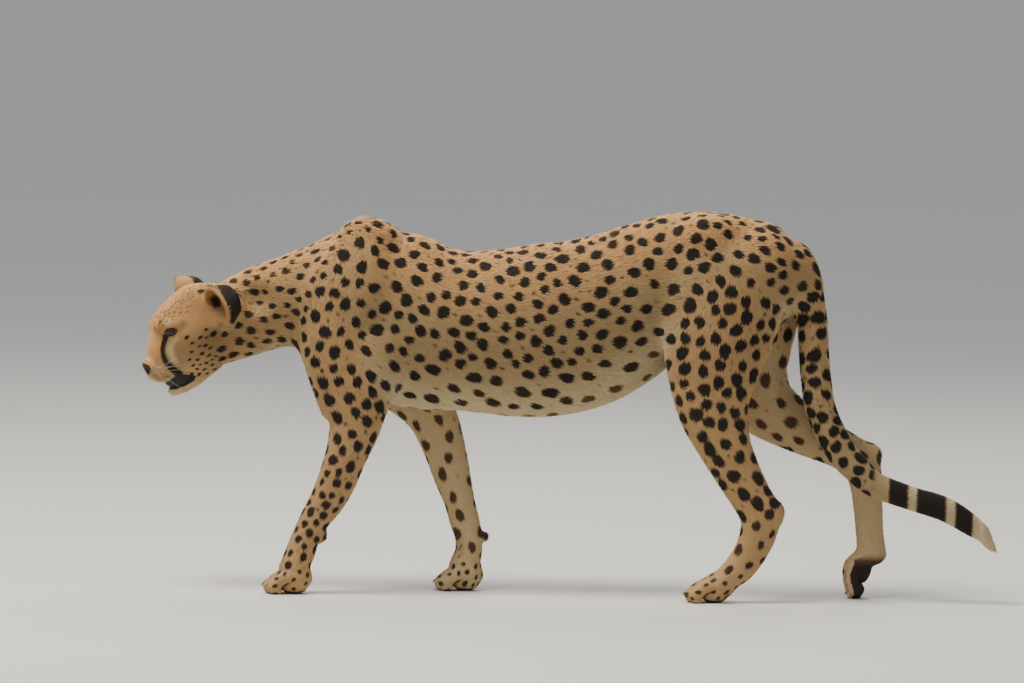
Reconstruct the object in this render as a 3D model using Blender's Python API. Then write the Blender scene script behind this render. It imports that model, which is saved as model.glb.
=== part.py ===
"""A cheetah walking with its head held low, at life size: one solid for each part of its body.

The flesh is a signed distance: sections strung on curves and rounded lumps, softly joined. It is drawn as a
closed mesh, thinned, and parted by thin knives. It faces -X, its left side is -Y, and it stands on z = 0.
"""

import math

import bmesh
import bpy
import numpy as np
import openvdb
from mathutils import Matrix, Vector

GAP = 0.0003
FAR = 0.06
BODY_CELL = 0.0065
HEAD_CELL = 0.0034
PAW_CELL = 0.0030
BODY_TRIANGLES = 4300
PAW_TRIANGLES = 400
HEAD_TRIANGLES = 1900
MERGED = 0.00002
BLOCK = 2.0
PAW_MARGIN = np.array([0.062, 0.055, 0.045])
POINTS_AT_ONCE = 60000

# The head's place, and how far it is lowered and turned to the animal's left.
BROW = np.array([-0.619, -0.030, 0.461])
HEAD_LOWERED = math.radians(27)
HEAD_TURNED = math.radians(22)
EYE_PLACE = (-0.0040, 0.0005, 0.0285)
EYE_RADIUS = 0.0135
NECK_CUT = -0.468

# The model's middle, which is moved over the origin once all is built.
ORIGIN = Vector((0.0997, 0.0008, 0.0))

# Where each paw's ball stands, how far it is tipped forward on its toes, and its size beside the fore paw's.
PAWS = {
    "fore_left": (-0.390, -0.058, 0.0, 1.0),
    "fore_right": (-0.086, 0.056, 0.0, 1.0),
    "hind_left": (0.359, -0.062, 0.0, 0.96),
    "hind_right": (0.648, 0.062, math.radians(68), 0.96),
}
# Where each paw is parted from its leg: a place, the way up the leg there, and how far the cut reaches.
PAW_CUTS = {
    "fore_left": ((-0.352, -0.060, 0.118), (0.42, 0, 0.91), (0.045, 0.045)),
    "fore_right": ((-0.077, 0.058, 0.122), (-0.20, 0, 0.98), (0.045, 0.045)),
    "hind_left": ((0.4465, -0.064, 0.140), (0.10, 0, 0.99), (0.060, 0.045)),
    "hind_right": ((0.6385, 0.063, 0.222), (-0.20, 0, 0.98), (0.062, 0.044)),
}
TIPTOE_LIFT = 0.0325
SOLE_PRESSED = 0.0015
TOES = (-0.0222, -0.0078, 0.0078, 0.0222)
OUTER_TOE_BACK = 0.008
CLAW_LENGTH = 0.0135
CLAW_RADIUS = 0.0030
CLAW_ROOT = np.array([0.0360, 0, 0.0205])
CLAW_ROOT_RAISED = np.array([0.0060, 0, -0.0010])
TIPTOE_CLAW_FORWARD = np.array([-math.cos(math.radians(15)), 0, -math.sin(math.radians(15))])
TIPTOE_CLAW_UP = np.array([-math.sin(math.radians(15)), 0, math.cos(math.radians(15))])

# x, top, underside and half width of the trunk, out to the tips of the coat.
TRUNK = (
    (-0.335, 0.580, 0.385, 0.050),
    (-0.270, 0.642, 0.362, 0.070),
    (-0.210, 0.648, 0.337, 0.083),
    (-0.150, 0.626, 0.328, 0.090),
    (-0.080, 0.615, 0.327, 0.094),
    (0.000, 0.623, 0.319, 0.095),
    (0.060, 0.632, 0.320, 0.094),
    (0.120, 0.641, 0.335, 0.086),
    (0.180, 0.658, 0.370, 0.077),
    (0.240, 0.676, 0.420, 0.070),
    (0.300, 0.691, 0.455, 0.068),
    (0.360, 0.692, 0.464, 0.069),
    (0.420, 0.683, 0.472, 0.066),
    (0.470, 0.660, 0.492, 0.055),
    (0.500, 0.635, 0.520, 0.040),
)

# x, y, z, half width and half depth of each long part's sections.
NECK = (
    (-0.260, 0.000, 0.545, 0.060, 0.104),
    (-0.320, 0.000, 0.533, 0.059, 0.095),
    (-0.372, 0.000, 0.525, 0.056, 0.086),
    (-0.410, 0.000, 0.516, 0.053, 0.079),
    (-0.450, 0.001, 0.502, 0.050, 0.077),
    (-0.490, 0.002, 0.486, 0.046, 0.073),
    (-0.530, 0.002, 0.474, 0.044, 0.066),
)
TAIL = (
    (0.450, 0.000, 0.630, 0.036, 0.038),
    (0.492, 0.000, 0.606, 0.034, 0.036),
    (0.517, -0.001, 0.572, 0.030, 0.031),
    (0.529, -0.002, 0.535, 0.0290, 0.0290),
    (0.535, -0.003, 0.500, 0.0285, 0.0285),
    (0.539, -0.005, 0.446, 0.0285, 0.0285),
    (0.544, -0.007, 0.400, 0.0285, 0.0285),
    (0.555, -0.009, 0.341, 0.0285, 0.0285),
    (0.589, -0.012, 0.274, 0.0275, 0.0275),
    (0.622, -0.014, 0.238, 0.0260, 0.0260),
    (0.654, -0.015, 0.212, 0.0235, 0.0235),
    (0.716, -0.017, 0.190, 0.0220, 0.0220),
    (0.779, -0.019, 0.171, 0.0225, 0.0225),
    (0.830, -0.020, 0.141, 0.0190, 0.0190),
    (0.851, -0.020, 0.121, 0.0100, 0.0100),
)
FORE_LEFT = (
    (-0.262, -0.030, 0.640, 0.018, 0.030),
    (-0.276, -0.046, 0.595, 0.024, 0.048),
    (-0.298, -0.058, 0.540, 0.030, 0.060),
    (-0.314, -0.065, 0.480, 0.034, 0.057),
    (-0.310, -0.070, 0.420, 0.036, 0.058),
    (-0.290, -0.072, 0.365, 0.036, 0.060),
    (-0.277, -0.072, 0.330, 0.034, 0.057),
    (-0.277, -0.071, 0.298, 0.032, 0.047),
    (-0.290, -0.069, 0.252, 0.030, 0.0385),
    (-0.3055, -0.067, 0.206, 0.027, 0.0355),
    (-0.322, -0.064, 0.170, 0.0245, 0.0325),
    (-0.3405, -0.061, 0.140, 0.023, 0.0285),
    (-0.3515, -0.060, 0.120, 0.0235, 0.0265),
    (-0.361, -0.059, 0.098, 0.023, 0.0260),
    (-0.369, -0.058, 0.074, 0.0245, 0.0270),
    (-0.380, -0.058, 0.050, 0.026, 0.0250),
)
FORE_RIGHT = (
    (-0.255, 0.030, 0.635, 0.018, 0.030),
    (-0.262, 0.046, 0.590, 0.024, 0.046),
    (-0.272, 0.058, 0.535, 0.030, 0.058),
    (-0.272, 0.065, 0.475, 0.034, 0.060),
    (-0.240, 0.070, 0.420, 0.036, 0.060),
    (-0.192, 0.072, 0.370, 0.035, 0.056),
    (-0.155, 0.072, 0.333, 0.033, 0.050),
    (-0.134, 0.070, 0.298, 0.031, 0.044),
    (-0.116, 0.067, 0.250, 0.029, 0.0385),
    (-0.101, 0.064, 0.200, 0.0265, 0.0335),
    (-0.0885, 0.061, 0.160, 0.0235, 0.0285),
    (-0.0785, 0.059, 0.125, 0.0235, 0.0275),
    (-0.071, 0.057, 0.098, 0.023, 0.0255),
    (-0.070, 0.056, 0.072, 0.024, 0.0250),
    (-0.077, 0.056, 0.048, 0.026, 0.0260),
)
HIND_LEFT = (
    (0.400, -0.040, 0.590, 0.042, 0.098),
    (0.380, -0.054, 0.525, 0.045, 0.100),
    (0.362, -0.064, 0.455, 0.043, 0.095),
    (0.357, -0.069, 0.395, 0.039, 0.079),
    (0.361, -0.071, 0.340, 0.034, 0.064),
    (0.380, -0.070, 0.285, 0.028, 0.050),
    (0.402, -0.068, 0.240, 0.025, 0.043),
    (0.428, -0.066, 0.195, 0.0225, 0.0385),
    (0.447, -0.065, 0.160, 0.0220, 0.0375),
    (0.4450, -0.064, 0.125, 0.0210, 0.0340),
    (0.4300, -0.063, 0.088, 0.0200, 0.0300),
    (0.4100, -0.062, 0.060, 0.0215, 0.0275),
    (0.3850, -0.062, 0.038, 0.0240, 0.0220),
)
HIND_RIGHT = (
    (0.425, 0.040, 0.590, 0.042, 0.090),
    (0.430, 0.054, 0.520, 0.045, 0.086),
    (0.424, 0.063, 0.455, 0.042, 0.080),
    (0.426, 0.067, 0.400, 0.038, 0.073),
    (0.452, 0.068, 0.350, 0.033, 0.062),
    (0.500, 0.067, 0.315, 0.028, 0.050),
    (0.548, 0.066, 0.290, 0.025, 0.042),
    (0.595, 0.065, 0.268, 0.0230, 0.0370),
    (0.6300, 0.064, 0.245, 0.0225, 0.0360),
    (0.6410, 0.063, 0.205, 0.0205, 0.0300),
    (0.6460, 0.063, 0.165, 0.0200, 0.0275),
    (0.6500, 0.062, 0.120, 0.0195, 0.0260),
    (0.6550, 0.062, 0.080, 0.0210, 0.0270),
)

# Ears: where the cup springs from, its tip, and the way that it opens, in the head's forward, up and out.
EARS = {
    "left": ((-0.0865, -0.0210, 0.0560), (-0.0965, 0.0440, 0.0780), (0.85, 0.43, 0.31)),
    "right": ((-0.066, 0.015, 0.044), (-0.095, 0.053, 0.070), (0.85, 0.05, 0.50)),
}
EAR_HALF_WIDTH = 0.036
EAR_DEPTH = 0.040
EAR_WALL = 0.0036
EAR_TRIANGLES = 240
EAR_CELL = 0.0028


def unit(vector):
    """The vector at a length of one."""
    vector = np.asarray(vector, float)
    return vector / np.linalg.norm(vector, axis=-1, keepdims=True)


def flow(rows, steps=6):
    """Rows of numbers drawn out into a smooth run that passes through each of them."""
    rows = np.asarray(rows, float)
    padded = np.vstack([2 * rows[0] - rows[1], rows, 2 * rows[-1] - rows[-2]])
    before, start, end, after = padded[:-3], padded[1:-2], padded[2:-1], padded[3:]
    pieces = []
    for share in np.arange(steps) / steps:
        bend = 2 * before - 5 * start + 4 * end - after
        twist = 3 * (start - end) + after - before
        pieces.append(start + 0.5 * share * (end - before + share * (bend + share * twist)))
    return np.vstack([np.stack(pieces, 1).reshape(-1, rows.shape[1]), rows[-1]])


def stretched(scaled, halves):
    """About how far points lie from an ellipsoid, given their places in half widths."""
    reach = np.linalg.norm(scaled, axis=1)
    slope = np.linalg.norm(scaled / halves, axis=1)
    deep = -np.min(halves * np.ones_like(scaled), axis=1)
    return np.where(reach < 0.02, deep, (reach - 1) * reach / np.maximum(slope, 1e-6))


def limb(rows, soft, side=(0, 1, 0)):
    """A form of elliptical sections on a curve: rows of x, y, z, half width along side, half depth across it."""
    run = flow(rows)
    centre, halves = run[:, :3], run[:, 3:5]
    along = unit(np.gradient(centre, axis=0))
    across = unit(side - (along @ np.asarray(side, float))[:, None] * along)
    axes = np.stack([across, np.cross(along, across), along], 1)
    pitch = np.linalg.norm(np.gradient(centre, axis=0), axis=1)

    def distance(points):
        nearest = np.argmin(((points[:, None] - centre[None]) ** 2).sum(2), axis=1)
        past = ((points - centre[nearest]) * along[nearest]).sum(1) / pitch[nearest]
        place = np.clip(nearest + np.clip(past, -1, 1), 0, len(run) - 1.001)
        low = place.astype(int)
        part = (place - low)[:, None]
        middle = centre[low] * (1 - part) + centre[low + 1] * part
        half = halves[low] * (1 - part) + halves[low + 1] * part
        frame = axes[low] * (1 - part[:, :, None]) + axes[low + 1] * part[:, :, None]
        local = np.einsum("nij,nj->ni", frame, points - middle)
        sizes = np.column_stack([half, half.min(1)])
        return stretched(local / sizes, sizes)

    margin = halves.max()
    return distance, centre.min(0) - margin, centre.max(0) + margin, soft, False


def lump(centre, radii, soft, axes=None, carve=False):
    """A form of one ellipsoid, which adds to the flesh or, with carve, is hollowed out of it."""
    centre, radii = np.asarray(centre, float), np.asarray(radii, float)
    axes = np.eye(3) if axes is None else axes

    def distance(points):
        return stretched((points - centre) @ axes.T / radii, radii)

    margin = radii.max()
    return distance, centre - margin, centre + margin, soft, carve


def joined(flesh, form, points):
    """The distances in flesh, with one more form softly added to them or carved out of them."""
    distance, low, high, soft, carve = form
    near = np.all((points > low - FAR) & (points < high + FAR), axis=1)
    if near.any():
        sign = -1.0 if carve else 1.0
        old, new = sign * flesh[near], distance(points[near])
        overlap = np.maximum(soft - np.abs(old - new), 0)
        flesh[near] = sign * (np.minimum(old, new) - overlap**2 / (4 * soft))
    return flesh


def head_axes():
    """Rows that turn a world direction into the head's forward, up and left."""
    down, turn = HEAD_LOWERED, HEAD_TURNED
    forward = (-math.cos(down) * math.cos(turn), -math.cos(down) * math.sin(turn), -math.sin(down))
    left = (math.sin(turn), -math.cos(turn), 0.0)
    return np.array([forward, np.cross(forward, left), left])


def ear_axes(spring, tip, opening):
    """Rows along an ear's length, across it, and the way that it opens."""
    length = unit(np.subtract(tip, spring))
    opens = unit(opening - np.dot(opening, length) * length)
    return np.array([length, np.cross(opens, length), opens])


def cup(centre, radii, wall, rim, axes):
    """A form of one ellipsoid's shell, twice as thick as wall, open beyond rim along the last axis."""
    solid, low, high, _, _ = lump(centre, radii, 1, axes)

    def distance(points):
        shell = np.abs(solid(points)) - wall
        beyond = (points - centre) @ axes[2] - rim
        overlap = np.maximum(wall - np.abs(shell - beyond), 0)
        return np.maximum(shell, beyond) + overlap**2 / (4 * wall)

    return distance, low - wall, high + wall, wall, False


def ear_forms(side):
    """One ear, a rounded cup with a thick root, in the head's forward, up and left."""
    mirror = np.array([1, 1, 1 if side == "left" else -1])
    spring, tip, opening = [np.array(row) * mirror for row in EARS[side]]
    axes = ear_axes(spring, tip, opening)
    height = np.linalg.norm(tip - spring)
    radii = np.array([0.54 * height, EAR_HALF_WIDTH, EAR_DEPTH]) - EAR_WALL
    middle = spring + 0.46 * (tip - spring)
    return [
        cup(middle, radii, EAR_WALL, 0.20 * EAR_DEPTH, axes),
        lump(middle - 0.62 * EAR_DEPTH * axes[2], (0.80 * radii[0], 0.85 * radii[1], 0.009), 0.010, axes),
        lump(spring + 0.002 * axes[0] - 0.006 * axes[2], (0.020, 0.024, 0.018), 0.012, axes),
    ]


def head_forms():
    """The head, in its own forward, up and left, with the left half's forms used on both sides."""
    out = (0, 0, 1)
    return [
        lump((-0.066, 0.001, 0), (0.060, 0.054, 0.049), 0.020),
        lump((-0.020, -0.002, 0), (0.044, 0.043, 0.040), 0.020),
        limb(((-0.030, -0.020, 0, 0.038, 0.046), (0.008, -0.026, 0, 0.029, 0.034),
              (0.032, -0.040, 0, 0.0245, 0.0250), (0.048, -0.047, 0, 0.0185, 0.0155)), 0.016, out),
        lump((0.036, -0.0620, 0.0125), (0.0235, 0.0175, 0.0175), 0.012),
        lump((0.004, -0.0520, 0.0180), (0.0300, 0.0260, 0.0155), 0.014),
        lump((-0.042, -0.032, 0.029), (0.042, 0.037, 0.032), 0.022),
        lump((-0.050, -0.066, 0.021), (0.045, 0.034, 0.027), 0.020),
        lump((-0.100, -0.045, 0.006), (0.050, 0.052, 0.042), 0.030),
        limb(((-0.045, -0.086, 0.022, 0.016, 0.018), (-0.012, -0.099, 0.017, 0.013, 0.0130),
              (0.012, -0.1045, 0.009, 0.0115, 0.0100)), 0.010, out),
        lump((0.025, -0.1035, 0), (0.0160, 0.0100, 0.0165), 0.008),
        lump((0.006, -0.0840, 0), (0.0340, 0.0200, 0.0215), 0.005),
        limb(((0.010, 0.015, 0.014, 0.007, 0.008), (-0.002, 0.0155, 0.028, 0.007, 0.007),
              (-0.020, 0.010, 0.039, 0.006, 0.006)), 0.012, (0, 1, 0)),
        lump((0.0550, -0.0400, 0), (0.0095, 0.0105, 0.0135), 0.008),
        lump((0.008, -0.001, 0.0375), (0.0135, 0.0100, 0.0150), 0.008, carve=True),
        lump((-0.150, 0.000, 0.096), (0.030, 0.036, 0.034), 0.016, carve=True),
    ]


def paw_forms():
    """A paw in its own forward, side and up: the ball, four toes and their pads."""
    forms = [
        lump((-0.012, 0, 0.029), (0.031, 0.0255, 0.024), 0.018),
        lump((-0.010, 0, 0.012), (0.022, 0.0215, 0.0125), 0.008),
    ]
    for out in TOES:
        back = OUTER_TOE_BACK * (abs(out) > abs(TOES[1]))
        forms.append(limb(((-0.012 - back, out * 0.80, 0.034, 0.0105, 0.0110),
                           (0.012 - back, out * 0.95, 0.0315, 0.0098, 0.0120),
                           (0.0340 - back, out * 1.06, 0.0150, 0.0100, 0.0115)), 0.0045))
        forms.append(lump((0.029 - back, out * 1.04, 0.0075), (0.0115, 0.0085, 0.0085), 0.004))
    return forms


def paw_frame(name):
    """Where a paw's ball is, and rows that turn a world offset into its forward, side and up, by its size."""
    x, y, tipped, size = PAWS[name]
    cosine, sine = math.cos(tipped), math.sin(tipped)
    axes = np.array([(-cosine, 0, -sine), (0, 1, 0), (-sine, 0, cosine)])
    return np.array([x, y, TIPTOE_LIFT if tipped else -SOLE_PRESSED]), axes / size


def body_forms():
    """The trunk, neck, tail and legs, in the world's own axes."""
    trunk = [(x, 0, (top + under) / 2, half, (top - under) / 2) for x, top, under, half in TRUNK]
    forms = [limb(trunk, 0.03), limb(NECK, 0.05), limb(TAIL, 0.03)]
    forms += [limb(rows, 0.032) for rows in (FORE_LEFT, FORE_RIGHT, HIND_LEFT, HIND_RIGHT)]
    for side in (-1, 1):
        forms += [
            lump((-0.261, side * 0.024, 0.634), (0.045, 0.020, 0.029), 0.028),
            lump((-0.335, side * 0.030, 0.440), (0.036, 0.034, 0.062), 0.035),
            lump((0.345, side * 0.040, 0.655), (0.045, 0.026, 0.030), 0.035),
            lump((0.440, side * 0.040, 0.590), (0.062, 0.036, 0.062), 0.035),
        ]
    forms += [
        lump((-0.245, -0.066, 0.400), (0.045, 0.030, 0.065), 0.035),
        lump((-0.205, 0.066, 0.425), (0.055, 0.030, 0.055), 0.035),
        lump((0.474, -0.065, 0.163), (0.0175, 0.0130, 0.0200), 0.016),
        lump((0.6500, 0.064, 0.262), (0.0190, 0.0130, 0.0170), 0.016),
        lump((-0.3320, -0.060, 0.105), (0.0110, 0.0105, 0.0130), 0.012),
        lump((-0.0430, 0.058, 0.098), (0.0120, 0.0090, 0.0100), 0.010),
    ]
    return forms


HEAD_AXES = head_axes()
BODY_FORMS = body_forms()
HEAD_FORMS = head_forms()
EAR_FORMS = {side: ear_forms(side) for side in EARS}
PAW_FORMS = paw_forms()
PAW_FRAMES = {name: paw_frame(name) for name in PAWS}


def measure(points):
    """How far each point lies outside the whole animal's coat, negative within."""
    flesh = np.full(len(points), FAR)
    for form in BODY_FORMS:
        flesh = joined(flesh, form, points)
    for ball, axes in PAW_FRAMES.values():
        near = np.nonzero(((points - ball) ** 2).sum(1) < 0.12**2)[0]
        local = (points[near] - ball) @ axes.T
        part = flesh[near]
        for form in PAW_FORMS:
            part = joined(part, form, local)
        flesh[near] = part
    near = np.nonzero(((points - BROW) ** 2).sum(1) < 0.26**2)[0]
    local = (points[near] - BROW) @ HEAD_AXES.T
    folded = local * np.where(local[:, 2:] < 0, (1, 1, -1), 1)
    part = flesh[near]
    for form in HEAD_FORMS:
        part = joined(part, form, folded)
    flesh[near] = part
    return flesh


def measure_ear(side):
    """The measure of one ear alone."""
    def distance(points):
        local = (points - BROW) @ HEAD_AXES.T
        flesh = np.full(len(points), FAR)
        for form in EAR_FORMS[side]:
            flesh = joined(flesh, form, local)
        return flesh

    return distance


def measured(field, points):
    """The field at each point, worked out in pieces small enough for the memory."""
    starts = range(0, len(points), POINTS_AT_ONCE)
    parts = [field(points[start : start + POINTS_AT_ONCE]) for start in starts]
    return np.concatenate(parts) if parts else np.zeros(0)


def net(field, low, high, cell):
    """Points and quads of the field's surface within a box."""
    low = np.asarray(low, float)
    block = 4
    counts = (np.ceil((high - low) / cell / block).astype(int) + 1) * block
    values = np.full(counts, FAR)
    blocks = np.indices(counts // block).reshape(3, -1).T * block
    centres = low + (blocks + (block - 1) / 2) * cell
    middle = measured(field, centres)
    busy = np.abs(middle) < 1.9 * block * cell
    corner = np.indices((block,) * 3).reshape(3, -1).T
    every = (blocks[~busy & (middle < 0)][:, None] + corner).reshape(-1, 3)
    values[tuple(every.T)] = -FAR
    every = (blocks[busy][:, None] + corner).reshape(-1, 3)
    values[tuple(every.T)] = measured(field, low + every * cell)
    # An open side would leave a hole, so the box's own faces count as outside.
    for axis in range(3):
        for edge in (0, -1):
            face = [slice(None)] * 3
            face[axis] = edge
            values[tuple(face)] = np.abs(values[tuple(face)])
    grid = openvdb.FloatGrid(FAR)
    grid.copyFromArray(values)
    points, quads = grid.convertToQuads(0.0)
    return low + points * cell, quads[:, ::-1]


def drawn_to_surface(field, points, cell, rounds=3):
    """Points moved along the slope of the distance until they lie on the surface."""
    nudge = 0.25 * cell
    for _ in range(rounds):
        here = measured(field, points)
        ahead = [measured(field, points + nudge * np.eye(3)[axis]) for axis in range(3)]
        slope = (np.column_stack(ahead) - here[:, None]) / nudge
        step = here[:, None] * slope / np.maximum((slope**2).sum(1, keepdims=True), 0.25)
        points = points - np.clip(step, -0.5 * cell, 0.5 * cell)
    return points


def finish_material(name, colour, roughness):
    """A plain finish for one kind of part."""
    material = bpy.data.materials.new(name)
    material.use_nodes = True
    shader = material.node_tree.nodes["Principled BSDF"]
    shader.inputs["Base Color"].default_value = (*colour, 1)
    shader.inputs["Roughness"].default_value = roughness
    return material


def new_object(name, points, faces, material=None):
    """An object of one mesh, linked into the scene."""
    mesh = bpy.data.meshes.new(name)
    mesh.from_pydata(np.asarray(points).tolist(), [], [list(map(int, face)) for face in faces])
    thing = bpy.data.objects.new(name, mesh)
    bpy.context.scene.collection.objects.link(thing)
    if material:
        mesh.materials.append(material)
    return thing


def applied(thing):
    """The object with its modifiers worked into its mesh."""
    graph = bpy.context.evaluated_depsgraph_get()
    mesh = bpy.data.meshes.new_from_object(thing.evaluated_get(graph))
    thing.modifiers.clear()
    thing.data = mesh
    return thing


def thinned(thing, triangles):
    """The object's mesh, brought down to about this many triangles."""
    modifier = thing.modifiers.new("Thinned", "DECIMATE")
    faces = 2 * len(thing.data.polygons)
    modifier.ratio = min(1.0, triangles / faces)
    modifier.use_collapse_triangulate = True
    return applied(thing)


def knife(name, centre, normal, half_sizes, thick=GAP, turn=(0, 1, 0)):
    """A plate that parts the flesh across the given direction, as thick as the gap unless told otherwise."""
    normal = unit(normal)
    first = unit(np.cross(turn, normal))
    axes = np.array([first, np.cross(normal, first), normal])
    sizes = np.array([half_sizes[0], half_sizes[1], thick / 2])
    corners = np.array([(x, y, z) for x in (-1, 1) for y in (-1, 1) for z in (-1, 1)]) * sizes
    faces = ((0, 1, 3, 2), (4, 6, 7, 5), (0, 4, 5, 1), (2, 3, 7, 6), (0, 2, 6, 4), (1, 5, 7, 3))
    return new_object(name, corners @ axes + centre, faces)


def block(name, face, normal):
    """A thick block that takes away all that lies beyond a plane."""
    centre = np.array(face) + 0.5 * BLOCK * unit(normal)
    return knife(name, centre, normal, (BLOCK, BLOCK), BLOCK)


def knives():
    """Every cut but the neck's: a centre, the way across the cut, and how far the plate reaches each way."""
    cuts = [
        ("neck_chest", (-0.392, 0, 0.52), (1, 0, 0), (0.14, 0.10)),
        ("chest_belly", (-0.035, 0, 0.47), (1, 0, 0), (0.20, 0.14)),
        ("belly_hips", (0.235, 0, 0.55), (1, 0, 0), (0.20, 0.14)),
        ("tail_root", (0.5375, -0.004, 0.497), (-0.10, 0, -0.995), (0.036, 0.036)),
        ("tail_middle", (0.5515, -0.008, 0.365), (0.17, 0, -0.985), (0.036, 0.036)),
        ("tail_end", (0.685, -0.016, 0.200), (0.94, 0, -0.34), (0.040, 0.036)),
        ("elbow_left", (-0.290, -0.085, 0.378), (0, 0.728, 0.685), (0.120, 0.075)),
        ("elbow_right", (-0.170, 0.085, 0.378), (0, -0.728, 0.685), (0.120, 0.075)),
        ("thigh_left", (0.362, -0.069, 0.404), (0, 0.5, 0.866), (0.106, 0.064)),
        ("thigh_right", (0.425, 0.075, 0.460), (0, -0.5, 0.866), (0.100, 0.064)),
        ("knee_left", (0.368, -0.070, 0.318), (0.30, 0, -0.95), (0.085, 0.045)),
        ("knee_right", (0.475, 0.067, 0.333), (0.80, 0, -0.60), (0.085, 0.036)),
    ]
    cuts += [(name, centre, up, reach) for name, (centre, up, reach) in PAW_CUTS.items()]
    return [knife(*cut) for cut in cuts]


def flesh_of(name, field, low, high, cell, triangles):
    """A closed mesh of the field's surface within a box, thinned to about so many triangles."""
    points, quads = net(field, low, np.array(high), cell)
    points = drawn_to_surface(field, points, cell)
    return thinned(new_object(name, points, quads), triangles)


def swollen(thing, by):
    """A copy of the object, moved outward all over by a small distance."""
    copy = thing.copy()
    copy.data = thing.data.copy()
    bpy.context.scene.collection.objects.link(copy)
    modifier = copy.modifiers.new("Swollen", "DISPLACE")
    modifier.strength = by
    modifier.mid_level = 0
    return applied(copy)


def cut_by(thing, tools):
    """The object with the tools taken out of it; the tools are then gone."""
    for tool in tools:
        modifier = thing.modifiers.new(tool.name, "BOOLEAN")
        modifier.operation = "DIFFERENCE"
        modifier.object = tool
    applied(thing)
    for tool in tools:
        bpy.data.objects.remove(tool)
    return thing


def sound_triangles(data):
    """A mesh's points and triangles, with those that all but touch made one."""
    mesh = bmesh.new()
    mesh.from_mesh(data)
    bmesh.ops.remove_doubles(mesh, verts=mesh.verts[:], dist=MERGED)
    bmesh.ops.dissolve_degenerate(mesh, dist=MERGED, edges=mesh.edges[:])
    bmesh.ops.triangulate(mesh, faces=mesh.faces[:])
    mesh.verts.index_update()
    points = np.array([vert.co for vert in mesh.verts])
    faces = np.array([[vert.index for vert in face.verts] for face in mesh.faces])
    mesh.free()
    return points, faces


def loose_parts(thing):
    """Each separate closed piece of the object's mesh, as points and triangles, largest first."""
    points, faces = sound_triangles(thing.data)
    label = np.arange(len(points))
    while True:
        lowest = label[faces].min(1)
        fresh = label.copy()
        for corner in range(3):
            np.minimum.at(fresh, faces[:, corner], lowest)
        fresh = fresh[fresh]
        if (fresh == label).all():
            break
        label = fresh
    parts = []
    for name in np.unique(label[faces[:, 0]]):
        chosen = faces[label[faces[:, 0]] == name]
        used, index = np.unique(chosen, return_inverse=True)
        parts.append((points[used], index.reshape(-1, 3)))
    bpy.data.objects.remove(thing)
    return sorted(parts, key=lambda part: -len(part[1]))


# A point well inside each part of the flesh, by which the cut pieces are named.
PART_PLACES = {
    "neck": (-0.43, 0, 0.51),
    "chest": (-0.20, 0, 0.50),
    "belly": (0.10, 0, 0.50),
    "hips": (0.38, 0, 0.60),
    "tail_base": (0.539, 0, 0.46),
    "tail_middle": (0.602, -0.012, 0.262),
    "tail_end": (0.77, -0.019, 0.174),
    "foreleg_left": (-0.300, -0.068, 0.225),
    "forepaw_left": (-0.380, -0.058, 0.040),
    "foreleg_right": (-0.105, 0.065, 0.215),
    "forepaw_right": (-0.078, 0.056, 0.050),
    "thigh_left": (0.362, -0.070, 0.368),
    "shank_left": (0.408, -0.068, 0.230),
    "hindpaw_left": (0.415, -0.062, 0.070),
    "thigh_right": (0.428, 0.067, 0.400),
    "shank_right": (0.560, 0.066, 0.285),
    "hindpaw_right": (0.650, 0.062, 0.120),
}


PAW_NODES = {name: name.replace("fore", "forepaw").replace("hind", "hindpaw") for name in PAWS}


def name_of(points):
    """The part whose marked place is nearest the middle of these points."""
    middle = (points.min(0) + points.max(0)) / 2
    return min(PART_PLACES, key=lambda name: np.linalg.norm(middle - PART_PLACES[name]))


def ball(name, centre, radius, around=14, rings=8, material=None):
    """A round ball of the given fineness."""
    mesh = bmesh.new()
    bmesh.ops.create_uvsphere(mesh, u_segments=around, v_segments=rings, radius=radius,
                              matrix=Matrix.Translation(Vector(centre)))
    data = bpy.data.meshes.new(name)
    mesh.to_mesh(data)
    mesh.free()
    thing = bpy.data.objects.new(name, data)
    bpy.context.scene.collection.objects.link(thing)
    if material:
        data.materials.append(material)
    return thing


def claw_points(root, forward, up, length, radius, sides=5):
    """Points and faces of a curved, pointed claw that grows from root."""
    side = np.cross(up, forward)
    points, faces = [], []
    shares = (0.0, 0.35, 0.72)
    for share in shares:
        centre = root + forward * length * share - up * length * 0.42 * share**2
        size = radius * (1 - share) ** 0.7
        for turn in np.arange(sides) * 2 * math.pi / sides:
            points.append(centre + size * (0.72 * math.cos(turn) * side + math.sin(turn) * up))
    points.append(root + forward * length * 0.97 - up * length * 0.44)
    last = len(points) - 1
    for ring in range(len(shares) - 1):
        for i in range(sides):
            j = (i + 1) % sides
            a, b = ring * sides + i, ring * sides + j
            faces.append((a, b, b + sides, a + sides))
    tip = last - sides
    faces += [(tip + i, tip + (i + 1) % sides, last) for i in range(sides)]
    faces.append(tuple(range(sides))[::-1])
    return np.array(points), faces


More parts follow.
